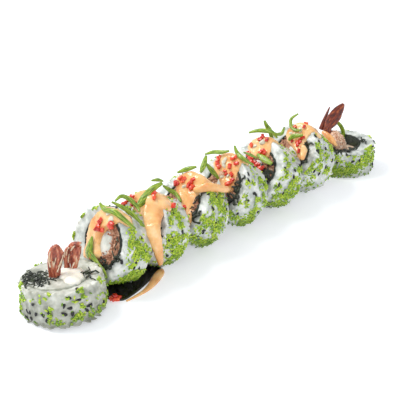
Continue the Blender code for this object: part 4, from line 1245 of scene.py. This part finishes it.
@dataclass
class ChoppedBits:
    """Diced red pepper over the sauce and by the glaze, with pale and brown chopped bits."""

    spilt: tuple[tuple[float, float, float], ...] = (
        (-117.2, -18.6, 1.3), (-115.3, -19.8, 1.2), (-114.2, -17.6, 1.3), (-116.0, -18.4, 3.0), (-117.6, -16.9, 1.1),
        (-113.4, -19.2, 1.2), (-115.6, -16.8, 1.3))

    def tip(self, heap: Heap, thing: Template, size: Slice, spot: tuple[float, float], half: float, sunk: float,
            draw: random.Random) -> None:
        """Drops one bit on a slice's sauce.

        Args:
            heap: where it goes.
            thing: its template.
            size: the slice.
            spot: across and up, in millimetres.
            half: its half size, in metres.
            sunk: its height over the rice, as a share of the sauce's.
            draw: random numbers.
        """
        point = size.sauce_point(mm(spot[0]), mm(spot[1]), SAUCE * sunk)
        scale = sized((half * 1.25, half * draw.uniform(0.65, 0.95), half * draw.uniform(0.55, 0.8)))
        spin = spun(draw.uniform(0, 3)) @ spun(draw.uniform(-0.7, 0.7), "X")
        heap.drop(thing, size.matrix() @ Matrix.Translation(point) @ spin @ scale)

    def build(self) -> None:
        """Builds each kind as one piece."""
        cube, draw = die_template(), random.Random(51)
        red = Heap()
        for number, spots in DICE.items():
            for spot in spots:
                for _ in range(draw.choice((1, 1, 2))):
                    beside = (spot[0] + draw.gauss(0, 0.6), spot[1] + draw.gauss(0, 0.6))
                    self.tip(red, cube, SLICES[number], beside, DIE / 2 * draw.uniform(0.75, 1.2),
                             draw.uniform(1.0, 1.35) + (0.8 if number in FALLS else 0), draw)
        for x, y, z in self.spilt:
            spin = spun(draw.uniform(0, 3)) @ spun(draw.uniform(-0.4, 0.4), "X")
            red.drop(cube, Matrix.Translation(place(x, y, z)) @ spin @ sized(mm(1.2, 1.2, 1.0)))
        Board.serve("pepper_dice", red.mesh("pepper_dice"), PEPPER, "orange_sauce")
        for name, table, finish in (("pale_bits", PALE_PIECES, PALE_BITS), ("brown_bits", BROWN_PIECES, CRUST)):
            heap = Heap()
            chunk = Template.ball(3, lambda p: p * (1 + 0.3 * wander(p, 1.4, 4)))
            for number, spots in table.items():
                for across, up, half in spots:
                    self.tip(heap, chunk, SLICES[number], (across, up), mm(half), 0.75, draw)
            Board.serve(name, heap.mesh(name), finish, "orange_sauce")


# Shreds of scallion: X, Y and Z along each, and its half width.
SHREDS = {
    "a": (((-105.5, 4.16, 53.73), (-106, -0.84, 51.23), (-105.5, -8.34, 52.23),
          (-103.5, -14.84, 48.73), (-99, -19.84, 42.23)), 1.5),
    "b": (((-100.1, -0.54, 54.03), (-97.1, -6.54, 51.53), (-93.1, -12.04, 46.53),
          (-89.1, -17.04, 39.03)), 1.2),
    "c": (((-99.22, -2.6, 54.79), (-94.72, -3.1, 56.79), (-89.72, -4.6, 53.79), (-87.22, -8.6, 49.29),
          (-88.22, -12.1, 47.29)), 1.2),
    "e": (((-62.99, -5.88, 55.79), (-69.49, -3.88, 53.29), (-74.49, -1.88, 48.29),
          (-79.99, -3.88, 46.79), (-84.99, -6.38, 47.79)), 2.2),
    "g": (((-48.38, 8.92, 44.36), (-44.88, 6.92, 40.86), (-41.88, 3.92, 37.86),
          (-43.38, -2.58, 34.86)), 1.3),
    "h": (((-32.95, 11.06, 47.75), (-30.45, 4.96, 51.25), (-26.45, -0.04, 53.25)), 1.4),
    "i": (((-16.87, 0.41, 58.07), (-19.37, -0.59, 54.57), (-22.87, -2.09, 52.07),
          (-26.87, -4.09, 50.57)), 1.6),
    "j": (((-8.6, 8.09, 47.16), (-6.1, 5.09, 42.16), (-2.6, 2.09, 36.16)), 1.5),
    "k": (((1.87, 19.27, 47.51), (4.37, 13.77, 50.01), (5.37, 7.47, 51.51), (7.07, 1.77, 53.51)), 1.3),
    "l": (((10.52, 0.17, 56.83), (9.52, -3.33, 52.83), (8.52, -9.83, 50.83), (14.02, -13.83, 45.83)), 1.3),
    "n": (((41, 14, 53.5), (44, 9, 55.5), (47, 4, 56), (50, 0, 55), (52.5, -2.5, 50.8)), 1.4),
    "o": (((50.5, 8, 61.5), (52, 7, 57.5), (54.5, 6, 53.5), (57, 6.6, 48.6), (60, 7.4, 42.6)), 1.5),
    "q": (((36.24, 1.63, 42.08), (35.24, -5.37, 41.08), (34.74, -12.87, 39.58)), 2.1),
    "r": (((86.83, 6.42, 57.09), (83.33, 9.92, 53.09), (79.83, 6.92, 49.09), (79.13, 1.92, 47.69),
          (79.33, -2.58, 49.09)), 1.2),
    "s": (((72.99, 3.4, 41.2), (74.49, 0.4, 44.7), (75.99, -7.1, 47.3)), 1.6),
    "f": (((-68.5, -2, 58), (-63, -2, 56.7), (-58.5, -2, 54.3)), 1.0),
    "m": (((13, -6, 53), (20, -6, 49), (26, -7, 45)), 0.9),
    "p": (((47.5, -4, 56.5), (53, -3, 53.5), (58, -2.5, 53), (60, -2.5, 57)), 1.1),
}
SHREDS_OF_NO_NODE = ("f", "m", "p")

# The shred that lies on slice 2's cut face: across and up there, and its half width.
BROAD_SHRED = ((-3.4, 4.6, 0.7), (-3.8, -1.0, 2.6), (-3.2, -6.0, 3.4), (1.8, -7.6, 1.9), (7.1, -10.0, 1.6),
               (12.6, -12.0, 1.3), (16.4, -15.0, 0.8))


@dataclass
class ScallionShreds:
    """Curled shreds of scallion along the top of the row."""

    depth: float = 0.36
    breadth: float = 1.2

    def shred(self, name: str, points: Sequence[Sequence[float]], width: float, nodes: Sequence[str]) -> None:
        """Builds one shred with tapering ends.

        Args:
            name: its letter.
            points: its path in the row's layout.
            width: its largest half width.
            nodes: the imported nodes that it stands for.
        """
        count = len(points)
        swell = [0.3 + 0.7 * math.sin(math.pi * (0.06 + 0.88 * i / (count - 1))) for i in range(count)]
        tapered = [(*point, width * self.breadth * share) for point, share in zip(points, swell)]
        draw = random.Random(name)
        facing = VIEW_TOWARDS + Vector((0, 0, 0.6))
        strip = Strip(tapered, self.depth, facing, sides=12, steps=7, curl=draw.uniform(0.15, 0.4))
        Board.serve(f"shred_{name}", strip.mesh("shred"), SCALLION, "scallion", nodes)

    def build(self) -> None:
        """Builds every shred."""
        for name, (points, width) in SHREDS.items():
            self.shred(name, points, width, [] if name in SHREDS_OF_NO_NODE else [f"scallion_{name}"])
        size = SLICES[2]
        points = [(*size.in_layout(mm(u), mm(v), size.half + mm(3.0)), width) for u, v, width in BROAD_SHRED]
        strip = Strip(points, self.depth, size.axes()[2], sides=14, steps=7, curl=0.25)
        Board.serve("shred_d", strip.mesh("shred"), SCALLION, "scallion", ["scallion_d"])


# ---------------------------------------------------------------- the end pieces and the glaze

# Tangles of frayed nori, which on slices 2 to 8 also stand in as painted shade for the dark gaps beside the filling:
# for each slice, across and up in its face, spread sideways and towards the viewer (or up the face, on a leaning
# slice), how many shreds, and how wide they may be.
NORI_AND_SHADE_TANGLES = {
    1: ((-8.8, -13.0, 5.0, 3.6, 60, 0.6), (-14.5, -13.5, 2.4, 2.2, 14, 0.6), (-2.0, -14.5, 3.0, 1.2, 16, 0.5),
        (12.0, 10.6, 2.0, 2.8, 18, 0.5)),
    2: ((12.0, -8.2, 2.0, 1.6, 9, 1.2), (17.4, 2.0, 0.6, 5.0, 7, 0.7)),
    3: ((14.6, -4.0, 1.0, 3.0, 8, 1.0), (-14.0, 3.0, 1.0, 2.5, 4, 0.8)),
    4: ((13.6, -4.0, 1.0, 3.5, 9, 1.1), (11.6, 6.5, 0.8, 2.5, 5, 0.9)),
    5: ((14.4, -4.0, 1.1, 3.6, 11, 1.3), (13.6, 5.0, 0.8, 2.6, 6, 0.9)),
    6: ((10.8, -2.0, 1.4, 3.2, 13, 1.3), (8.4, 3.6, 1.6, 1.6, 6, 1.0)),
    7: ((12.2, -2.0, 1.0, 3.0, 8, 1.0), (9.6, 9.0, 0.8, 2.0, 4, 0.8)),
    8: ((16.0, -13.0, 1.4, 3.0, 10, 1.2), (6.0, -18.0, 2.6, 1.4, 10, 1.2), (12.0, 9.0, 2.0, 1.6, 6, 0.9)),
}


@dataclass
class FrayedNoriAndShade:
    """Torn shreds of nori at the edge of one slice's filling; on slices 2 to 8 they are partly painted shade.

    They reach no further out than most_reach, and past drop_from they sink with the rim.
    """

    number: int
    most_reach: float = 22.6
    drop_from: float = 20.5

    def build(self) -> None:
        """Builds the slice's shreds as one piece."""
        size = SLICES[self.number]
        facing = size.matrix().to_3x3() @ Vector((0, 0, 1))
        draw = random.Random(8 * self.number)
        shape = bmesh.new()
        for u, v, wide, deep, count, broad in NORI_AND_SHADE_TANGLES[self.number]:
            for _ in range(count):
                sideways, forward = draw.gauss(0, wide), draw.gauss(0, deep)
                spot = Vector((u + sideways, v + forward, 0))
                if size.lying:
                    spot.x = u + LOOK_X * sideways + LOOK_Y * forward
                    spot.y = v + LOOK_Y * sideways - LOOK_X * forward
                heading, points = draw.uniform(0, math.tau), []
                for _ in range(draw.randrange(4, 7)):
                    reach = min(1.0, self.most_reach / max(spot.length, 1))
                    low = 0.35 - max(0.0, spot.length - self.drop_from) * 0.5
                    height = size.half + mm(low + abs(draw.gauss(0, 0.7)))
                    points.append((*size.in_layout(mm(spot.x * reach), mm(spot.y * reach), height),
                                   draw.uniform(0.3, broad)))
                    heading += draw.gauss(0, 0.6)
                    spot = spot + Vector((math.cos(heading), math.sin(heading), 0)) * draw.uniform(1.0, 2.0)
                Strip(points, 0.2, facing, sides=6, steps=3).add_to(shape)
        Board.serve(f"frayed_nori_and_shade_{self.number}", finished_mesh(shape, "frayed_nori_and_shade"), NORI, "nori")


# The two crisp legs: for each strand, across the view, height above the foot, depth towards the viewer and half
# width; then the foot's place.
LEGS = {
    "left": ((((-2.0, 0, 1.0, 1.9), (-2.0, 8, 0.8, 2.0), (-1.8, 15, 0.2, 2.1), (0.4, 20, -0.4, 2.2)),
              ((0.9, 0.2, 1.6, 1.9), (1.6, 7, 1.2, 2.2), (3.3, 13, 0.4, 2.3), (3.2, 17.5, -0.2, 2.3),
               (1.0, 20.4, -0.6, 2.0)),
              ((-0.6, 0.6, 0.8, 1.7), (0.2, 8, 0.4, 1.7), (0.8, 14, 0.0, 1.9), (0.6, 18.6, -0.5, 2.0))),
             (-145.7, -1.1)),
    "right": ((((-2.2, 0.4, 0.2, 1.7), (-2.4, 7, -0.4, 1.9), (-1.6, 13, -0.8, 2.2), (1.8, 17.6, -0.8, 2.3),
                (5.6, 18.6, -0.4, 1.9)),
               ((1.0, 0.4, 1.0, 1.8), (2.4, 6.5, 0.8, 2.3), (4.0, 12, 0.2, 2.5), (4.9, 17.0, -0.4, 2.0)),
               ((-0.6, 6.0, 0.0, 1.3), (0.2, 10.5, 0.0, 1.6), (1.6, 14.0, -0.4, 1.8), (3.0, 16.4, -0.5, 1.6))),
              (-135.3, -2.9)),
}


@dataclass
class FirstPiece:
    """The near end piece's filling: a lumpy bed, and a heap of cream with two crisp legs standing in it."""

    foot_height: float = 21.6
    fibres: int = 5
    lobes: int = 9
    heap_place: tuple[float, float] = (6.0, 1.8)
    heap_height: float = 3.0

    def bed(self) -> None:
        """Builds the lumpy top of the filling, which covers the nori's edge at the front."""
        size = SLICES[1]
        across, up, outer = (mm(v) for v in size.filling)
        filled = outer + mm(0.5)
        shape = bmesh.new()
        bmesh.ops.create_uvsphere(shape, u_segments=120, v_segments=90, radius=1)
        for vertex in shape.verts:
            c = vertex.co
            z = size.half + mm(0.8) * c.z if c.z > 0 else size.half + (2 * size.half - mm(1)) * c.z
            spread = min(1.0, 1.35 * math.hypot(c.x, c.y)) / max(math.hypot(c.x, c.y), 1e-6)
            side = filled if c.z > -0.12 else outer - mm(1.6)
            vertex.co = Vector((across + side * c.x * spread, up + side * c.y * spread, z))
            if c.z > 0:
                lumps = wander(vertex.co, 230, 2) + 0.6 * wander(vertex.co, 420, 5)
                vertex.co.z += mm(0.8) * lumps * min(1.0, c.z * 4)
        size.settle(shape)
        Board.serve("filling_bed", finished_mesh(shape, "bed"), END_RICE, "cooked_rice", ["cream_1"])

    def cream(self) -> None:
        """Builds the heap of cream under the legs, in soft lobes."""
        size = SLICES[1]
        shape = bmesh.new()
        draw = random.Random(4)
        for _ in range(self.lobes):
            u, v = draw.gauss(0, 3.0), draw.gauss(0, 2.6)
            stand = Matrix.Translation(mm(self.heap_place[0] + u, self.heap_place[1] + v, size.half * 1000 + 0.2))
            wide = draw.uniform(4.0, 6.2)
            thick = self.heap_height * draw.uniform(0.7, 1.05)
            add_ball(shape, size.matrix() @ stand @ sized(mm(wide, wide * draw.uniform(0.8, 1.1), thick)))
        mesh = Board.melted(shape, "cream", mm(0.4), 4)
        Board.serve("cream_heap", mesh, CREAM, "cream_cheese", ["cream_1"])

    @staticmethod
    def beside(turn: float, width: float, across: float, deep: float) -> Vector:
        """A step off a strand's middle line, round it by an angle."""
        return VIEW_ACROSS * math.cos(turn) * width * across + VIEW_TOWARDS * math.sin(turn) * width * deep

    def leg(self, side: str) -> None:
        """Builds one leg: strands of twisted fibres grown together, with streaks of cream along them.

        Args:
            side: left or right.
        """
        strands, foot = LEGS[side]
        draw = random.Random(side)
        base = place(*foot, self.foot_height)
        shell, streaks = bmesh.new(), bmesh.new()
        for strand in strands:
            rings = [(*(base + VIEW_ACROSS * mm(a) + VIEW_TOWARDS * mm(d) + mm(0, 0, h) - ROW_SHIFT) * 1000, w)
                     for a, h, d, w in strand]
            smooth = smooth_path(rings, 4)
            twist = draw.choice((-0.16, 0.13))
            for fibre in range(self.fibres):
                phase = math.tau * fibre / self.fibres + draw.uniform(-0.3, 0.3)
                moved = []
                for i, (x, y, z, w) in enumerate(smooth):
                    shift = self.beside(phase + i * twist, w, 0.56, 0.5)
                    height = z + draw.uniform(-0.25, 0.25)
                    moved.append((x + shift.x, y + shift.y, height, w * draw.uniform(0.34, 0.52)))
                Strip(moved, 3.0, sides=10, steps=3, ripple=0.3).add_to(shell)
            for _ in range(3):
                phase, start = draw.uniform(-0.4, 2.6), draw.randrange(0, len(smooth) - 5)
                line = []
                for i in range(start, min(start + draw.randrange(4, 8), len(smooth))):
                    x, y, z, w = smooth[i]
                    shift = self.beside(phase + i * twist, w, 0.95, 0.9)
                    line.append((x + shift.x, y + shift.y, z, draw.uniform(0.25, 0.5)))
                Strip(line, 0.3, sides=8, steps=3, ripple=0.4).add_to(streaks)
        bmesh.ops.recalc_face_normals(shell, faces=shell.faces)
        mesh = Board.melted(shell, "leg", mm(0.24), 1)
        Board.serve(f"crisp_leg_{side}_shell", mesh, LEG, "crisp_prawn_leg", [f"crisp_leg_{side}"])
        Board.serve(f"leg_{side}_streaks", finished_mesh(streaks, "streaks"), STREAKS, "crisp_prawn_leg")

    def build(self) -> None:
        """Builds the filling's pieces."""
        self.bed()
        self.cream()
        for side in LEGS:
            self.leg(side)


# The prawn's tail and the green strip: X, Y, Z and half width along each, and half the thickness.
TAIL_STRIPS = {
    "blade": (((126.5, 9, 32.5, 2.2), (129.5, 8.8, 36, 4.2), (134, 8.5, 40, 5.2), (139, 8.2, 44, 4.4),
               (143, 8, 47, 2.6), (145, 8, 48.6, 1.2)), 1.0),
    "spine": (((124.5, 13.0, 32.0, 1.8), (128, 13.5, 36.5, 1.7), (132, 14, 41.5, 1.2),
               (136, 14.2, 47, 0.5)), 0.7),
    "base": (((128.5, 6.5, 27.0, 2.8), (127.5, 8.5, 30.5, 3.2), (128.0, 9.5, 34, 3.0)), 2.2),
}
GREEN_STRIP = ((143.0, 10.5, 33, 1.4), (146, 9.5, 29.5, 1.6), (148.2, 8.5, 24, 1.6), (147.6, 7.6, 15.8, 1.2))


@dataclass
class LastPiece:
    """The far end piece's filling: a mound of crumbed crust, the prawn's tail and a green strip."""

    mound_place: tuple[float, float, float] = (130.3, 3.6, 17.0)
    mound_radii: tuple[float, float, float] = (8.2, 10.6, 14.1)
    crumbs: int = 520

    def mound(self) -> None:
        """Builds the crust's floor and mound with flaky crumbs all over."""
        size = SLICES[8]
        across, up, outer = (mm(v) for v in size.filling)
        matrix = size.matrix()
        draw = random.Random(88)
        heap = Heap()
        disc = Template.ball(4, Vector.copy)
        wide, low, top = outer - mm(0.8), mm(1.0) - size.half, size.half - mm(8.5)
        points = []
        for p in disc.points:
            reach = min(1.0, 1.3 * math.hypot(p[0], p[1])) / max(math.hypot(p[0], p[1]), 1e-6)
            z = top + mm(0.6) * wander(Vector(p), 6, 1) if p[2] > 0 else low
            spot = matrix @ Vector((across + wide * p[0] * reach, up + wide * p[1] * reach, z))
            points.append((spot.x, spot.y, max(spot.z, mm(0.2))))
        heap.add(np.array(points), disc.faces)
        turn = spun(math.radians(-12))
        shape = Matrix.Translation(place(*self.mound_place)) @ turn @ sized(mm(*self.mound_radii))
        heap.drop(Template.ball(4, lambda p: p * (1 + 0.10 * wander(p, 2.3, 1) + 0.05 * wander(p, 7, 2))), shape)
        kinds = [crumb_template(seed) for seed in (5, 6, 7, 8)]
        for _ in range(self.crumbs):
            way = Vector((draw.gauss(0, 1), draw.gauss(0, 1), abs(draw.gauss(0.4, 1)))).normalized()
            spot = shape @ way
            long, thick = draw.uniform(0.8, 2.1), draw.uniform(0.3, 0.65)
            spin = standing(way) @ spun(draw.uniform(0, 6))
            tilt = spun(draw.uniform(-0.7, 0.7), "Y")
            stand = Matrix.Translation(spot) @ spin @ tilt
            heap.drop(draw.choice(kinds), stand @ sized(mm(long, thick, thick)))
        Board.serve("crumbed_mound", heap.mesh("mound"), CRUMBS, "fried_crust", ["crust_8"])

    def tail(self) -> None:
        """Builds the tail's fan, keeled along its middle, with its spine and root."""
        shape = bmesh.new()
        for name, (points, depth) in TAIL_STRIPS.items():
            keel = 0.7 if name == "blade" else 0.2
            Strip(points, depth, sides=20, steps=8, keel=keel, ripple=0.08).add_to(shape)
        Board.serve("prawn_tail_fan", finished_mesh(shape, "tail"), TAIL, "prawn_tail", ["prawn_tail_8"])

    def build(self) -> None:
        """Builds the filling's pieces."""
        self.mound()
        self.tail()
        strip = Strip(GREEN_STRIP, 0.4, sides=12, steps=6, curl=0.2)
        Board.serve("green_strip", strip.mesh("green_strip"), SCALLION, "scallion", ["green_strip_8"])


@dataclass
class GlazePool:
    """The dark glaze under the near slices, with the smear of sauce at its edge, in the row's layout.

    outline is (X, Y), smear (X, Y, half width), and edge (inset, height) from the rim inwards.
    """

    outline: tuple[tuple[float, float], ...] = (
        (-106, 3), (-118, -9), (-117.5, -17), (-113, -22.5), (-104, -22), (-95, -20), (-84, -16.5), (-76, -13),
        (-68, -10), (-62, -8), (-62, 4), (-84, 8))
    smear: tuple[tuple[float, float, float], ...] = (
        (-112, -24.6, 0.7), (-104, -24.8, 1.1), (-96, -24.0, 1.7), (-88, -21.4, 2.6), (-81, -18.0, 3.2),
        (-75, -15.0, 2.8), (-71.5, -12.9, 1.0))
    edge: tuple[tuple[float, float], ...] = (
        (0.0, 0.02), (0.0, 0.3), (0.3, 0.65), (0.9, 0.85), (2.5, 0.9), (6.0, 0.9))

    def pool(self) -> None:
        """Builds the pool with a rounded edge."""
        middle, steps = Vector((-90, -8, 0)), 6
        closed = [(x, y, 0.0) for x, y in self.outline]
        line = smooth_path([closed[-1], *closed, closed[0], closed[1]], steps)[steps:-steps]
        shape = bmesh.new()
        rings = []
        for inset, height in self.edge:
            ring = []
            for point in line:
                spot = point + (middle - point).normalized() * inset
                ring.append(shape.verts.new(place(spot.x, spot.y, height)))
            rings.append(ring)
        join_rings(shape, rings)
        shape.faces.new(rings[0])
        shape.faces.new(rings[-1])
        Board.serve("glaze_pool", finished_mesh(shape, "glaze"), GLAZE, "dark_glaze", ["dark_glaze"])

    def build(self) -> None:
        """Builds the pool and the smear."""
        self.pool()
        shape = bmesh.new()
        for x, y, half in smooth_path(self.smear, 8):
            add_ball(shape, Matrix.Translation(place(x, y, 0.3)) @ sized(mm(half, half, 0.5 + 0.5 * half)))
        mesh = Board.melted(shape, "smear", mm(0.35), 5)
        lift_low(mesh.vertices, mm(0.03))
        Board.serve("smear_of_sauce", mesh, SMEARED_SAUCE, "orange_sauce", ["sauce_smear"])


# ---------------------------------------------------------------- the studio


@dataclass
class Studio:
    """The pale floor, the soft lights and the camera of the photograph.

    eye and target are in the row's layout, and focal is in pixels of a picture that is picture of them wide. Each
    lamp has its power in watts, its side and its place in metres.
    """

    eye: tuple[float, float, float] = (-435.06, -395.78, 306.99)
    target: tuple[float, float, float] = (18.24, 39.77, 0.0)
    focal: float = 958.65
    picture: float = 400
    sensor: float = 36
    floor_half: float = 3.0
    lamps: tuple[tuple[str, float, float, tuple[float, float, float]], ...] = (
        ("key", 8.2, 0.5, (-0.35, 0.55, 0.9)), ("fill", 3.0, 0.8, (-0.9, -0.7, 0.7)))

    def camera(self) -> None:
        """Sets the camera at the photograph's view, without roll or shift."""
        lens = bpy.data.cameras.new("camera")
        lens.sensor_width = self.sensor
        lens.sensor_fit = "HORIZONTAL"
        lens.lens = self.focal / self.picture * self.sensor
        lens.clip_start = 0.01
        camera = bpy.data.objects.new("camera", lens)
        camera.location = place(*self.eye)
        towards = place(*self.target) - camera.location
        camera.rotation_euler = towards.to_track_quat("-Z", "Y").to_euler()
        bpy.context.scene.collection.objects.link(camera)
        bpy.context.scene.camera = camera

    def lights(self) -> None:
        """Hangs the soft square lights, which look at the row's middle."""
        for name, energy, side, spot in self.lamps:
            lamp = bpy.data.lights.new(name, "AREA")
            lamp.energy = energy
            lamp.size = side
            holder = bpy.data.objects.new(name, lamp)
            holder.location = spot
            holder.rotation_euler = (-Vector(spot)).to_track_quat("-Z", "Y").to_euler()
            bpy.context.scene.collection.objects.link(holder)

    def floor(self) -> None:
        """Lays the pale floor."""
        shape = bmesh.new()
        bmesh.ops.create_grid(shape, x_segments=1, y_segments=1, size=self.floor_half)
        mesh = finished_mesh(shape, "floor")
        tree = FinishTree("pale_floor")
        tree.skin(Base_Color=(0.76, 0.77, 0.79, 1), Roughness=0.9, Emission_Color=(0.94, 0.95, 1.0, 1),
                  Emission_Strength=0.36)
        mesh.materials.append(tree.material)
        floor = bpy.data.objects.new("floor", mesh)
        bpy.context.scene.collection.objects.link(floor)

    def world(self) -> None:
        """Fills the surroundings with even light."""
        world = bpy.data.worlds.new("soft_surroundings")
        world.use_nodes = True
        back = world.node_tree.nodes["Background"]
        back.inputs["Color"].default_value = (0.96, 0.98, 1.0, 1)
        back.inputs["Strength"].default_value = 0.8
        bpy.context.scene.world = world

    def build(self) -> None:
        """Sets up the whole studio."""
        self.camera()
        self.floor()
        self.world()
        self.lights()
        bpy.context.scene.view_settings.view_transform = "Standard"


def main() -> None:
    """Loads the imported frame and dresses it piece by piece."""
    logging.basicConfig(level=logging.INFO, format="%(name)s %(message)s")
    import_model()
    Studio().build()
    for number, size in SLICES.items():
        PackedRice(number, size).build()
        RolledFilling(number, size).build()
        FrayedNoriAndShade(number).build()
    Seasoning().build()
    for number in sorted({*SAUCE_ROWS, *RUNS}):
        SauceCover(number).build()
    ChoppedBits().build()
    ScallionShreds().build()
    FirstPiece().build()
    LastPiece().build()
    GlazePool().build()


if __name__ == "__main__":
    main()
